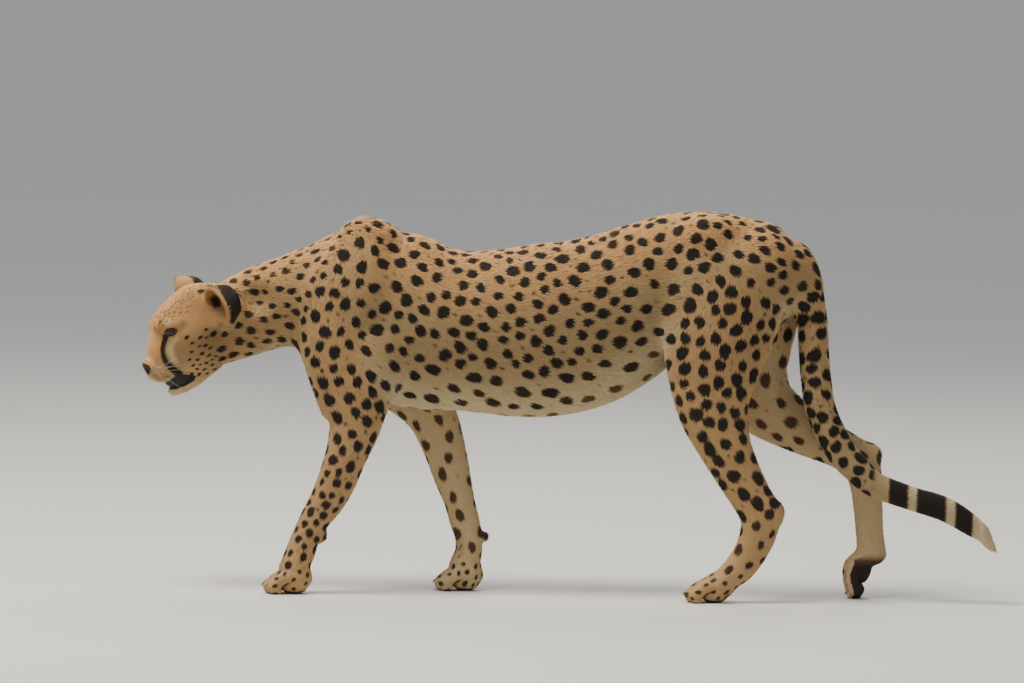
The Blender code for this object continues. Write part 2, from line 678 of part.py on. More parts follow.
def claws():
    """Name, paw, root, forward, up and size of every claw."""
    rows = []
    for name, (origin, axes) in PAW_FRAMES.items():
        turned = unit(axes)
        size = PAWS[name][3]
        for number, out in enumerate(TOES):
            back = OUTER_TOE_BACK * (abs(out) > abs(TOES[1]))
            place = CLAW_ROOT - np.array([back, 0, 0]) + np.array([0, out * 1.07, 0])
            forward, up = turned[0], turned[2]
            if PAWS[name][2]:
                place = place - CLAW_ROOT_RAISED
                forward, up = TIPTOE_CLAW_FORWARD, TIPTOE_CLAW_UP
            root = origin + size * place @ turned
            rows.append((f"claw_{name}_{number + 1}", name, root, forward, up, 1.0))
    for name, x, y, inward in (("fore_left", -0.372, -0.0345, 1), ("fore_right", -0.083, 0.0325, -1)):
        forward = unit((-0.45, 0.35 * inward, -0.82))
        up = unit(np.cross(forward, np.cross((0.0, inward, 0.3), forward)))
        rows.append((f"claw_{name}_dew", name, np.array([x, y, 0.084]), forward, up, 1.15))
    return rows


def build_claws(parts, material):
    """Claws of their own, each in a snug pocket cut into its paw."""
    for name, paw, root, forward, up, size in claws():
        length, radius = CLAW_LENGTH * size, CLAW_RADIUS * size
        new_object(name, *claw_points(root, forward, up, length, radius), material)
        pocket = claw_points(root - GAP * forward, forward, up, length + 2 * GAP, radius + 1.5 * GAP)
        cut_by(parts[PAW_NODES[paw]], [new_object("pocket", *pocket)])


def main():
    for thing in list(bpy.data.objects):
        bpy.data.objects.remove(thing)
    coat = finish_material("coat", (0.60, 0.40, 0.22), 0.85)
    wet = finish_material("eye", (0.10, 0.045, 0.012), 0.10)
    horn = finish_material("claw", (0.05, 0.04, 0.035), 0.45)

    body = flesh_of("body", measure, (-0.53, -0.16, -0.03), (0.90, 0.16, 0.74), BODY_CELL, BODY_TRIANGLES)
    front = block("front", (NECK_CUT + 0.5 * GAP, 0, 0), (-1, 0, 0))
    ground = block("ground", (0, 0, 0), (0, 0, -1))
    cut_by(body, [front, ground] + knives())
    head = flesh_of("skull", measure, (-0.73, -0.16, 0.29), (-0.43, 0.15, 0.65), HEAD_CELL, HEAD_TRIANGLES)
    cut_by(head, [block("back", (NECK_CUT - 0.5 * GAP, 0, 0), (1, 0, 0))])
    parts = {}
    for side in EARS:
        name = "ear_" + side
        field = measure_ear(side)
        ear = flesh_of("cup", field, (-0.66, -0.16, 0.40), (-0.46, 0.10, 0.60), EAR_CELL, EAR_TRIANGLES)
        cut_by(ear, [swollen(head, GAP)])
        parts[name] = new_object(name, *loose_parts(ear)[0], coat)
    sockets = []
    for side, sign in (("left", 1), ("right", -1)):
        centre = BROW + np.array(EYE_PLACE) * (1, 1, sign) @ HEAD_AXES
        ball("eye_" + side, centre, EYE_RADIUS, material=wet)
        sockets.append(ball("socket", centre, EYE_RADIUS + 2 * GAP))
    parts["head"] = new_object("head", *loose_parts(cut_by(head, sockets))[0], coat)
    for points, faces in loose_parts(body):
        name = name_of(points)
        if name not in PAW_NODES.values():
            parts[name] = new_object(name, points, faces, coat)
    for name, (centre, up, _) in PAW_CUTS.items():
        ends = np.array([centre, PAW_FRAMES[name][0]])
        low, high = ends.min(0) - PAW_MARGIN, ends.max(0) + PAW_MARGIN
        paw = flesh_of("paw", measure, low, high, PAW_CELL, PAW_TRIANGLES)
        leg = block("leg", centre - 0.5 * GAP * unit(up), up)
        cut_by(paw, [leg, block("ground", (0, 0, 0), (0, 0, -1))])
        parts[PAW_NODES[name]] = new_object(PAW_NODES[name], *loose_parts(paw)[0], coat)
    build_claws(parts, horn)
    for name, part in parts.items():
        points, faces = loose_parts(part)[0]
        new_object(name, points, faces, coat)
    for thing in bpy.data.objects:
        thing.data.transform(Matrix.Translation(-ORIGIN))


main()
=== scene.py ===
"""A walking cheetah dressed round its solid model: skin, a coat of solid tufts, eyes, whiskers and a stage.

The skin is the surface of a signed distance, made of sections strung on curves and of rounded lumps that are
softly joined. It lies inside the solid model by the coat's depth. Shapes are worked out in the animal's own
axes, in which it faces -X and its left side is -Y. Its left eye's place moves them onto the solid model.
"""

import math
from functools import partialmethod

import bmesh
import bpy
import numpy as np
import openvdb
from bpy.props import FloatProperty, FloatVectorProperty, IntProperty, PointerProperty
from bpy.types import Operator, Panel, PropertyGroup
from mathutils import Matrix, Vector
from mathutils.kdtree import KDTree


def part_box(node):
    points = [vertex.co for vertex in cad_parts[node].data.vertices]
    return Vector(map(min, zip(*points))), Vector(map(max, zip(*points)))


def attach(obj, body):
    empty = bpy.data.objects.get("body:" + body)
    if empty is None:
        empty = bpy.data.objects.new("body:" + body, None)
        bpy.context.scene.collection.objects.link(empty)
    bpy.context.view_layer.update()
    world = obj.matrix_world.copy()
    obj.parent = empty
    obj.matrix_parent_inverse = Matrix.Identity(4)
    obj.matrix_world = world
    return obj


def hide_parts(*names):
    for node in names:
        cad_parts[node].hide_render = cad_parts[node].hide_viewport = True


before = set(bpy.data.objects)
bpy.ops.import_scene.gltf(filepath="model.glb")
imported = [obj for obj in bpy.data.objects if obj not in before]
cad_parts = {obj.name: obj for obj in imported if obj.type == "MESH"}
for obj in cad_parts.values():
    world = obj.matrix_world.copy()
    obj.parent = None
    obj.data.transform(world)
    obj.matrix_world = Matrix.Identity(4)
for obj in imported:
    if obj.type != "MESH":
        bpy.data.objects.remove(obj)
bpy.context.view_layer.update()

bl_info = {
    "name": "Walking Cheetah",
    "version": (1, 0, 0),
    "blender": (4, 5, 0),
    "location": "3D View > Sidebar > Cheetah",
    "description": "Builds the skin, coat, eyes, claws and whiskers of a walking cheetah",
    "category": "Add Mesh",
}


def mm(rows):
    """Rows of millimetres, in metres."""
    return np.array(rows) / 1000


SEED = 11
BAKE_MAP = "OFBake"

# How far off the distances are still worked out, the nets' cells, and how many points are measured at once.
FAR = 0.06
BODY_CELL = 0.0055
HEAD_CELL = 0.0022
PAW_CELL = 0.0025
POINTS_AT_ONCE = 40000

# Where the head's net meets the body's, half the gap between them, and the boxes that each net fills.
NECK_SEAM = -0.454
SEAM_GAP = 0.0012
BODY_NET = ((NECK_SEAM - 0.03, -0.14, -0.02), (0.88, 0.14, 0.72))
HEAD_NET = ((-0.79, -0.21, 0.28), (NECK_SEAM + 0.012, 0.14, 0.64))

# The head's place, and how far it is lowered and turned to the animal's left.
BROW = np.array([-0.619, -0.030, 0.461])
HEAD_LOWERED = math.radians(27)
HEAD_TURNED = math.radians(22)
HEAD_REACH = 0.26
FACE_REACH = 0.19

# Parts of the head, in its own forward, up and out.
EYE_PLACE = np.array([-0.0040, 0.0005, 0.0285])
EYE_RADIUS = 0.0135
LID_THICKNESS = 0.0016
NOSE_PAD = np.array([0.0605, -0.0440, 0.0])
NOSE_HALVES = np.array([0.0192, 0.0118, 0.0160])

# The lids' opening: which way the eye looks, how its corners lie, its half sizes and how far out it is.
GAZE = np.array([0.40, 0.16, 0.90])
EYE_WIDTHWAYS = np.array([0.90, 0.18, -0.43])
LID_OPENING = np.array([0.0098, 0.0058, 0.0080])
LID_FORWARD = 0.0125

# Each ear: where the cup springs from, its tip, and the way that it opens. Then the sizes of both cups, and
# their middles and half heights as shares of the way from spring to tip.
EARS = {
    "left": ((-0.0865, -0.0210, 0.0560), (-0.0965, 0.0440, 0.0780), (0.85, 0.43, 0.31)),
    "right": ((-0.066, 0.015, 0.044), (-0.095, 0.053, 0.070), (0.85, 0.05, 0.50)),
}
EAR_HALF_WIDTH = 0.036
EAR_DEPTH = 0.040
EAR_WALL = 0.0036
EAR_COAT = 0.0008
EAR_MIDDLE = 0.46
EAR_HALF_HEIGHT = 0.54

# Where each paw's ball stands, how far it is tipped forward on its toes, and its size beside a fore paw's.
PAWS = {
    "fore_left": (-0.390, -0.058, 0.0, 1.0),
    "fore_right": (-0.086, 0.056, 0.0, 1.0),
    "hind_left": (0.359, -0.062, 0.0, 0.96),
    "hind_right": (0.648, 0.062, math.radians(68), 0.96),
}
PAW_REACH = 0.12
PAW_HEIGHT = 0.055
TIPTOE_HEIGHT = 0.105
TIPTOE_SPAN = (0.60, 0.70)
TIPTOE_LIFT = 0.0325
SOLE_PRESSED = 0.0015
TOES = (-0.0222, -0.0078, 0.0078, 0.0222)
OUTER_TOE_BACK = 0.008

# x, top, underside and half width of the trunk, out to the tips of the coat, in millimetres.
TRUNK = mm((
    (-335, 580, 385, 50), (-270, 642, 362, 70), (-210, 648, 337, 83), (-150, 626, 328, 90),
    (-80, 615, 327, 94), (0, 623, 319, 95), (60, 632, 320, 94), (120, 641, 335, 86),
    (180, 658, 370, 77), (240, 676, 420, 70), (300, 691, 455, 68), (360, 692, 464, 69),
    (420, 683, 472, 66), (470, 660, 492, 55), (500, 635, 520, 40),
))

# x, y, z, half width and half depth of each long part's sections, in millimetres.
NECK = mm((
    (-260, 0, 545, 60, 104), (-320, 0, 533, 59, 95), (-372, 0, 525, 56, 86), (-410, 0, 516, 53, 79),
    (-450, 1, 502, 50, 77), (-490, 2, 486, 46, 73), (-530, 2, 474, 44, 66),
))
TAIL = mm((
    (450, 0, 630, 36, 38), (492, 0, 606, 34, 36), (517, -1, 572, 30, 31), (529, -2, 535, 29, 29),
    (535, -3, 500, 28.5, 28.5), (539, -5, 446, 28.5, 28.5), (544, -7, 400, 28.5, 28.5),
    (555, -9, 341, 28.5, 28.5), (589, -12, 274, 27.5, 27.5), (622, -14, 238, 26, 26),
    (654, -15, 212, 23.5, 23.5), (716, -17, 190, 22, 22), (779, -19, 171, 22.5, 22.5),
    (830, -20, 141, 19, 19), (851, -20, 121, 10, 10),
))
LEGS = {
    "fore_left": mm((
        (-262, -30, 640, 18, 30), (-276, -46, 595, 24, 48), (-298, -58, 540, 30, 60),
        (-314, -65, 480, 34, 57), (-310, -70, 420, 36, 58), (-290, -72, 365, 36, 60),
        (-277, -72, 330, 34, 57), (-277, -71, 298, 32, 47), (-290, -69, 252, 30, 38.5),
        (-305.5, -67, 206, 27, 35.5), (-322, -64, 170, 24.5, 32.5), (-340.5, -61, 140, 23, 28.5),
        (-351.5, -60, 120, 23.5, 26.5), (-361, -59, 98, 23, 26), (-369, -58, 74, 24.5, 27),
        (-380, -58, 50, 26, 25),
    )),
    "fore_right": mm((
        (-255, 30, 635, 18, 30), (-262, 46, 590, 24, 46), (-272, 58, 535, 30, 58),
        (-272, 65, 475, 34, 60), (-240, 70, 420, 36, 60), (-192, 72, 370, 35, 56),
        (-155, 72, 333, 33, 50), (-134, 70, 298, 31, 44), (-116, 67, 250, 29, 38.5),
        (-101, 64, 200, 26.5, 33.5), (-88.5, 61, 160, 23.5, 28.5), (-78.5, 59, 125, 23.5, 27.5),
        (-71, 57, 98, 23, 25.5), (-70, 56, 72, 24, 25), (-77, 56, 48, 26, 26),
    )),
    "hind_left": mm((
        (400, -40, 590, 42, 98), (380, -54, 525, 45, 100), (362, -64, 455, 43, 95),
        (357, -69, 395, 39, 79), (361, -71, 340, 34, 64), (380, -70, 285, 28, 50),
        (402, -68, 240, 25, 43), (428, -66, 195, 22.5, 38.5), (447, -65, 160, 22, 37.5),
        (445, -64, 125, 21, 34), (430, -63, 88, 20, 30), (410, -62, 60, 21.5, 27.5),
        (385, -62, 38, 24, 22),
    )),
    "hind_right": mm((
        (425, 40, 590, 42, 90), (430, 54, 520, 45, 86), (424, 63, 455, 42, 80),
        (426, 67, 400, 38, 73), (452, 68, 350, 33, 62), (500, 67, 315, 28, 50),
        (548, 66, 290, 25, 42), (595, 65, 268, 23, 37), (630, 64, 245, 22.5, 36),
        (641, 63, 205, 20.5, 30), (646, 63, 165, 20, 27.5), (650, 62, 120, 19.5, 26),
        (655, 62, 80, 21, 27),
    )),
}

# The middle line that the head's coat lies along, from the nose back, with the head's half width there.
NOSE_TO_NAPE = mm((
    (66, -42, 0, 20), (34, -40, 0, 28), (-5, -30, 0, 40), (-50, -25, 0, 52), (-95, -35, 0, 55),
))

# The dark line from the inner corner of the eye to the mouth, with its half width, and the pale streak behind
# it. Both lie in the head's forward, up and out, and out counts for less when their widths are measured.
TEAR_LINE = mm((
    (4, 2, 29, 5), (12, -7, 24, 4.2), (22.5, -20, 23, 3.8), (28, -36, 26, 4.4), (27, -52, 29, 5.4),
    (19, -70, 31, 7), (13, -79, 31, 7),
))
PALE_STREAK = mm(((-4, -11, 34), (10, -22, 31), (15, -40, 31), (13, -52, 32)))
BROW_STROKE = mm(((14, 4, 18), (10, 16, 22), (4, 26, 24)))
FLATTENED = np.array([1, 1, 0.4])

# Pale patches of the face: forward, up, out and radius in metres, and how pale.
PALE_PATCHES = (
    (-0.004, 0.020, 0.034, 0.011, 0.55), (0.044, -0.076, 0.010, 0.016, 0.95),
    (0.026, -0.108, 0.006, 0.026, 1.00), (-0.010, -0.108, 0.012, 0.028, 0.80),
    (0.056, -0.068, 0.010, 0.012, 0.90),
)

# The outline of the black lips and open mouth from the side, in the head's forward and up; the lips are black
# and the open mouth within them is painted black as painted shade.
MOUTH = mm((
    (56, -79), (40, -81), (27, -77.5), (16, -75.5), (3, -83), (-11, -92.5), (-3, -98), (13, -100.5),
    (29, -99), (42, -95), (56, -90),
))

# Where the tail's black rings begin and end, as x along its middle line, how soft their edges are, where the
# spots stop before them, and where the white tip begins.
TAIL_RINGS = ((0.679, 0.712), (0.729, 0.780), (0.798, 0.828))
RING_EDGE = 0.003
TAIL_SPOTS_END = (0.645, 0.655)
TAIL_TIP = 0.829

# The dark pads behind the wrists.
WRIST_PADS = ((-0.3280, -0.060, 0.103), (-0.0370, 0.058, 0.097))
WRIST_PAD_RADIUS = 0.0100

# Spots by where they lie: the least gap between their middles, their radius, how dark they are, and how long
# they are beside their width.
SPOTS = {
    "flank": (0.0262, 0.0096, 1.00, 1.10),
    "back": (0.0225, 0.0080, 0.97, 1.18),
    "low_flank": (0.0330, 0.0096, 0.92, 1.35),
    "belly": (0.0400, 0.0090, 0.50, 1.30),
    "neck": (0.0200, 0.0058, 0.92, 1.30),
    "throat": (0.0220, 0.0072, 0.85, 1.30),
    "forearm": (0.0236, 0.0090, 1.00, 1.20),
    "foreleg": (0.0180, 0.0062, 0.98, 1.30),
    "thigh": (0.0258, 0.0104, 1.00, 1.12),
    "shank": (0.0252, 0.0104, 1.00, 1.20),
    "hind_foot": (0.0300, 0.0070, 0.85, 1.30),
    "inner_leg": (0.0340, 0.0085, 0.70, 1.40),
    "paw": (0.0150, 0.0040, 0.80, 1.30),
    "tail": (0.0235, 0.0115, 1.00, 1.00),
    "crown": (0.0066, 0.0013, 0.55, 2.00),
    "cheek": (0.0105, 0.0027, 0.95, 1.60),
    "jaw": (0.0180, 0.0045, 0.90, 1.40),
    "whisker_pad": (0.0060, 0.0010, 0.50, 1.20),
    "plain": (0.0300, 0.0010, 0.00, 1.00),
}
SPOT_CANDIDATES = 90000
SHELF_CELL = 0.034
FLECK_RADIUS = 0.0030
FLECK_DARKNESS = 0.42
FLECK_SHARE = 0.55

# The region of spots that each place is in, by the last of these rules that it fits: the middle lines that it
# belongs to, or any if none is named, and measures of it with the least and the most that each may be.
FORELEGS = ("fore_left", "fore_right")
HINDLEGS = ("hind_left", "hind_right")
LEAST, MOST = -9.0, 9.0
REGION_RULES = (
    ("flank", ()),
    ("low_flank", ("trunk",), ("over_belly", LEAST, 0.085)),
    ("back", (), ("faces_up", 0.72, MOST)),
    ("belly", ("trunk",), ("over_belly", LEAST, 0.014)),
    ("neck", ("neck",)),
    ("throat", ("neck",), ("faces_up", LEAST, -0.2)),
    ("forearm", FORELEGS, ("z", LEAST, 0.37)),
    ("foreleg", FORELEGS, ("z", LEAST, 0.22)),
    ("thigh", HINDLEGS, ("z", LEAST, 0.56)),
    ("shank", HINDLEGS, ("z", LEAST, 0.32)),
    ("hind_foot", HINDLEGS, ("z", LEAST, 0.15)),
    ("hind_foot", HINDLEGS, ("z", LEAST, 0.23), ("x", 0.55, MOST)),
    ("inner_leg", FORELEGS + HINDLEGS, ("faces_out", LEAST, -0.35), ("z", LEAST, 0.45)),
    ("plain", FORELEGS + HINDLEGS, ("faces_out", LEAST, -0.35), ("z", LEAST, 0.23), ("x", 0.50, MOST)),
    ("paw", FORELEGS + HINDLEGS, ("z", LEAST, 0.05)),
    ("tail", ("tail",)),
    ("plain", ("tail",), ("x", 0.675, MOST)),
    ("plain", ("ear_left", "ear_right")),
    ("plain", ("head",)),
    ("crown", ("head",), ("over_brow", 0.020, MOST), ("forward", LEAST, 0.028)),
    ("cheek", ("head",), ("up", LEAST, -0.012), ("forward", LEAST, -0.004)),
    ("jaw", ("head",), ("up", LEAST, -0.030), ("forward", LEAST, -0.055)),
    ("whisker_pad", ("head",), ("up", -0.072, -0.030), ("forward", 0.034, 0.054)),
    ("plain", ("head",), ("up", LEAST, -0.100), ("forward", -0.040, MOST)),
)

# The piece of coat that each place is in, by the last of these rules that it fits.
HEAD_LINES = ("head", "ear_left", "ear_right")
COAT_RULES = (
    ("coat_middle", ()),
    ("coat_shoulders", (), ("x", LEAST, -0.130)),
    ("coat_rump_right", (), ("x", 0.200, MOST)),
    ("coat_rump_left", (), ("x", 0.200, MOST), ("y", LEAST, 0)),
    ("coat_forelegs", FORELEGS, ("z", LEAST, 0.37)),
    ("coat_hindlegs", HINDLEGS, ("z", LEAST, 0.40)),
    ("coat_tail", ("tail",)),
    ("coat_neck", ("neck",)),
    ("coat_head_left", HEAD_LINES),
    ("coat_head_right", HEAD_LINES, ("left", LEAST, 0)),
)
TUFT_LIMIT = 49000

# How thick the coat is low on the legs and how much thicker on the body, at the nape and how much thinner on
# the face, and where it is thickest of all.
LEG_COAT = 0.0024
MORE_ON_BODY = 0.0020
NAPE_COAT = 0.0026
LESS_ON_FACE = 0.0014
BODY_COAT = 0.0044

# How far tufts turn off the coat's lie, where along a tuft its colour is taken, and how soft the spots' edges
# are on tufts and on the skin, as shares of a spot's radius.
TUFT_TURN = math.radians(9)
COLOUR_PLACE = 0.62
TUFT_SOFTNESS = 0.10
SKIN_SOFTNESS = 0.22

# The skin has the colour of a tuft of this tone, at this share of the way to its tip.
SKIN_TONE = 0.45
SKIN_REACH = 0.35

# Widths of tufts and locks: as a share of their length, and the least and the most.
TUFT_WIDTH = (0.19, 0.0008, 0.0020)
LOCK_WIDTH = (0.085, 0.0009, 0.0022)

# The longer hair by where it grows: how thickly, how long it is, how far it rises and how far it droops.
LONG_HAIR = {
    "nape": (1.0, 0.024, 0.0050, 0.0),
    "belly": (0.7, 0.019, 0.0015, 0.0040),
    "ears": (3.0, 0.012, 0.0030, 0.0),
    "cheeks": (1.6, 0.011, 0.0022, 0.0010),
    "tail_tip": (9.0, 0.026, 0.0030, 0.0020),
}
LOCK_COUNT = 7000

# Nothing of the coat lies lower than this over the floor.
LEAST_HEIGHT = 0.0003
DOWN = np.array([0.0, 0.0, -1.0])


def unit(vector):
    """The vector at a length of one."""
    vector = np.asarray(vector, float)
    return vector / np.linalg.norm(vector, axis=-1, keepdims=True)


def flow(rows, steps=6):
    """Rows of numbers drawn out into a smooth run that passes through each of them."""
    rows = np.asarray(rows, float)
    padded = np.vstack([2 * rows[0] - rows[1], rows, 2 * rows[-1] - rows[-2]])
    before, start, end, after = padded[:-3], padded[1:-2], padded[2:-1], padded[3:]
    pieces = []
    for share in np.arange(steps) / steps:
        bend = 2 * before - 5 * start + 4 * end - after
        twist = 3 * (start - end) + after - before
        pieces.append(start + 0.5 * share * (end - before + share * (bend + share * twist)))
    return np.vstack([np.stack(pieces, 1).reshape(-1, rows.shape[1]), rows[-1]])


def stretched(scaled, halves):
    """About how far points lie from an ellipsoid, given their places in half widths."""
    reach = np.linalg.norm(scaled, axis=1)
    slope = np.linalg.norm(scaled / halves, axis=1)
    deep = -np.min(halves * np.ones_like(scaled), axis=1)
    return np.where(reach < 0.02, deep, (reach - 1) * reach / np.maximum(slope, 1e-6))


def limb(rows, soft, side=(0, 1, 0)):
    """A form of elliptical sections on a curve: rows of x, y, z, half width along side and half depth."""
    run = flow(rows)
    centre, halves = run[:, :3], run[:, 3:5]
    along = unit(np.gradient(centre, axis=0))
    aside = unit(side - (along @ np.asarray(side, float))[:, None] * along)
    axes = np.stack([aside, np.cross(along, aside), along], 1)
    pitch = np.linalg.norm(np.gradient(centre, axis=0), axis=1)

    def distance(points):
        """How far each point is from this limb."""
        nearest = np.argmin((centre**2).sum(1) - 2 * points @ centre.T, axis=1)
        past = ((points - centre[nearest]) * along[nearest]).sum(1) / pitch[nearest]
        place = np.clip(nearest + np.clip(past, -1, 1), 0, len(run) - 1.001)
        low = place.astype(int)
        part = (place - low)[:, None]
        middle = centre[low] * (1 - part) + centre[low + 1] * part
        half = halves[low] * (1 - part) + halves[low + 1] * part
        turned = axes[low] * (1 - part[:, :, None]) + axes[low + 1] * part[:, :, None]
        local = np.einsum("nij,nj->ni", turned, points - middle)
        sizes = np.column_stack([half, half.min(1)])
        return stretched(local / sizes, sizes)

    margin = halves.max()
    return distance, centre.min(0) - margin, centre.max(0) + margin, soft, False


def lump(centre, radii, soft, axes=None, carve=False):
    """A form of one ellipsoid, which adds to the flesh or, with carve, is hollowed out of it."""
    centre, radii = np.asarray(centre, float), np.asarray(radii, float)
    axes = np.eye(3) if axes is None else axes

    def distance(points):
        """How far each point is from this ellipsoid."""
        return stretched((points - centre) @ axes.T / radii, radii)

    margin = radii.max()
    return distance, centre - margin, centre + margin, soft, carve


def cup(centre, radii, wall, rim, axes):
    """A form of one ellipsoid's shell, twice as thick as wall, open beyond rim along the last axis."""
    solid, low, high, _, _ = lump(centre, radii, 1, axes)

    def distance(points):
        """How far each point is from this shell."""
        shell = np.abs(solid(points)) - wall
        beyond = (points - centre) @ axes[2] - rim
        overlap = np.maximum(wall - np.abs(shell - beyond), 0)
        return np.maximum(shell, beyond) + overlap**2 / (4 * wall)

    return distance, low - wall, high + wall, wall, False


def joined(flesh, forms, points):
    """The distances in flesh, with more forms softly added to them or carved out of them, one by one."""
    for distance, low, high, soft, carve in forms:
        near = np.all((points > low - FAR) & (points < high + FAR), axis=1)
        if near.any():
            sign = -1.0 if carve else 1.0
            old, new = sign * flesh[near], distance(points[near])
            overlap = np.maximum(soft - np.abs(old - new), 0)
            flesh[near] = sign * (np.minimum(old, new) - overlap**2 / (4 * soft))
    return flesh


def head_axes():
    """Rows that turn a world direction into the head's forward, up and left."""
    down, turn = HEAD_LOWERED, HEAD_TURNED
    forward = (-math.cos(down) * math.cos(turn), -math.cos(down) * math.sin(turn), -math.sin(down))
    left = (math.sin(turn), -math.cos(turn), 0.0)
    return np.array([forward, np.cross(forward, left), left])


def across(long, look):
    """Rows of right-angled axes: along long, across it, and the way that look faces."""
    look = unit(look)
    long = unit(long - np.dot(long, look) * look)
    return np.array([long, np.cross(look, long), look])


def ear(side):
    """Where an ear springs from, its tip and the way that it opens, in the head's forward, up and left."""
    mirror = np.array([1, 1, 1 if side == "left" else -1])
    return [np.array(row) * mirror for row in EARS[side]]


def ear_axes(side):
    """Rows along an ear's length, across it, and the way that it opens."""
    spring, tip, opening = ear(side)
    length = unit(tip - spring)
    opens = unit(opening - np.dot(opening, length) * length)
    return np.array([length, np.cross(opens, length), opens])


def ear_forms(side):
    """One ear, a rounded cup with a filled back and a thick root, in the head's forward, up and left."""
    spring, tip, _ = ear(side)
    axes = ear_axes(side)
    radii = np.array([EAR_HALF_HEIGHT * np.linalg.norm(tip - spring), EAR_HALF_WIDTH, EAR_DEPTH]) - EAR_WALL
    middle = spring + EAR_MIDDLE * (tip - spring)
    back = middle - 0.62 * EAR_DEPTH * axes[2]
    return [
        cup(middle, radii, EAR_WALL, 0.20 * EAR_DEPTH, axes),
        lump(back, (0.80 * radii[0], 0.85 * radii[1], 0.009), 0.010, axes),
        lump(spring + 0.002 * axes[0] - 0.008 * axes[2], (0.017, 0.021, 0.014), 0.012, axes),
    ]


def head_forms():
    """The head, in its own forward, up and left, with the left half's forms used on both sides."""
    out = (0, 0, 1)
    lids = across(EYE_WIDTHWAYS, GAZE)
    nostril = across((1.0, -0.3, 0.9), (0.75, -0.15, 0.65))
    return [
        # Skull, brow and the bridge of the muzzle.
        lump((-0.066, 0.001, 0), (0.060, 0.054, 0.049), 0.020),
        lump((-0.020, -0.002, 0), (0.044, 0.043, 0.040), 0.020),
        limb(mm(((-30, -20, 0, 38, 46), (8, -26, 0, 29, 34), (32, -40, 0, 24.5, 25),
                 (48, -47, 0, 18.5, 15.5))), 0.016, out),
        # Whisker pads, cheeks, jaw's muscles and the back of the head.
        lump((0.036, -0.0620, 0.0125), (0.0235, 0.0175, 0.0175), 0.012),
        lump((0.004, -0.0520, 0.0180), (0.0300, 0.0260, 0.0155), 0.014),
        lump((-0.042, -0.032, 0.029), (0.042, 0.037, 0.032), 0.022),
        lump((-0.050, -0.066, 0.021), (0.045, 0.034, 0.027), 0.020),
        lump((-0.100, -0.045, 0.006), (0.050, 0.052, 0.042), 0.030),
        # Jawbone, chin, the inside of the mouth, painted black as painted shade, and the ridge over the eye.
        limb(mm(((-45, -86, 22, 16, 18), (-12, -99, 17, 13, 13), (12, -104.5, 9, 11.5, 10))), 0.010, out),
        lump((0.025, -0.1035, 0), (0.0160, 0.0100, 0.0165), 0.008),
        lump((0.006, -0.0840, 0), (0.0340, 0.0200, 0.0215), 0.005),
        limb(mm(((10, 15, 14, 7, 8), (-2, 15.5, 28, 7, 7), (-20, 10, 39, 6, 6))), 0.012),
        # Nose, eye socket and the hollow behind the ear.
        lump((0.0550, -0.0385, 0), (0.0090, 0.0095, 0.0130), 0.006),
        lump((0.0535, -0.0460, 0.0085), (0.0085, 0.0075, 0.0075), 0.004),
        lump((0.008, -0.001, 0.0375), (0.0135, 0.0100, 0.0150), 0.008, carve=True),
        lump((-0.150, 0.000, 0.096), (0.030, 0.036, 0.034), 0.016, carve=True),
        # Lids and the opening between them, nostril, and the groove under the nose.
        lump(EYE_PLACE, np.full(3, EYE_RADIUS + LID_THICKNESS), 0.0060),
        lump(EYE_PLACE + LID_FORWARD * lids[2], LID_OPENING, 0.0016, lids, carve=True),
        lump((0.0620, -0.0450, 0.0085), (0.0060, 0.0026, 0.0038), 0.0015, nostril, carve=True),
        lump((0.0565, -0.0590, 0), (0.0080, 0.0090, 0.0011), 0.0020, carve=True),
    ]


def paw_forms():
    """A paw in its own forward, side and up: the ball, its pad, four toes and theirs."""
    forms = [
        lump((-0.012, 0, 0.029), (0.031, 0.0255, 0.024), 0.018),
        lump((-0.010, 0, 0.012), (0.022, 0.0215, 0.0125), 0.008),
    ]
    for out in TOES:
        back = OUTER_TOE_BACK * (abs(out) > abs(TOES[1]))
        forms.append(limb(((-0.012 - back, out * 0.80, 0.034, 0.0105, 0.0110),
                           (0.012 - back, out * 0.95, 0.0315, 0.0098, 0.0120),
                           (0.0340 - back, out * 1.06, 0.0150, 0.0100, 0.0115)), 0.0045))
        forms.append(lump((0.029 - back, out * 1.04, 0.0075), (0.0115, 0.0085, 0.0085), 0.004))
    return forms


def paw_frame(name):
    """Where a paw's ball is, and rows that turn a world offset into its forward, side and up, by its size."""
    x, y, tipped, size = PAWS[name]
    cosine, sine = math.cos(tipped), math.sin(tipped)
    axes = np.array([(-cosine, 0, -sine), (0, 1, 0), (-sine, 0, cosine)])
    return np.array([x, y, TIPTOE_LIFT if tipped else -SOLE_PRESSED]), axes / size


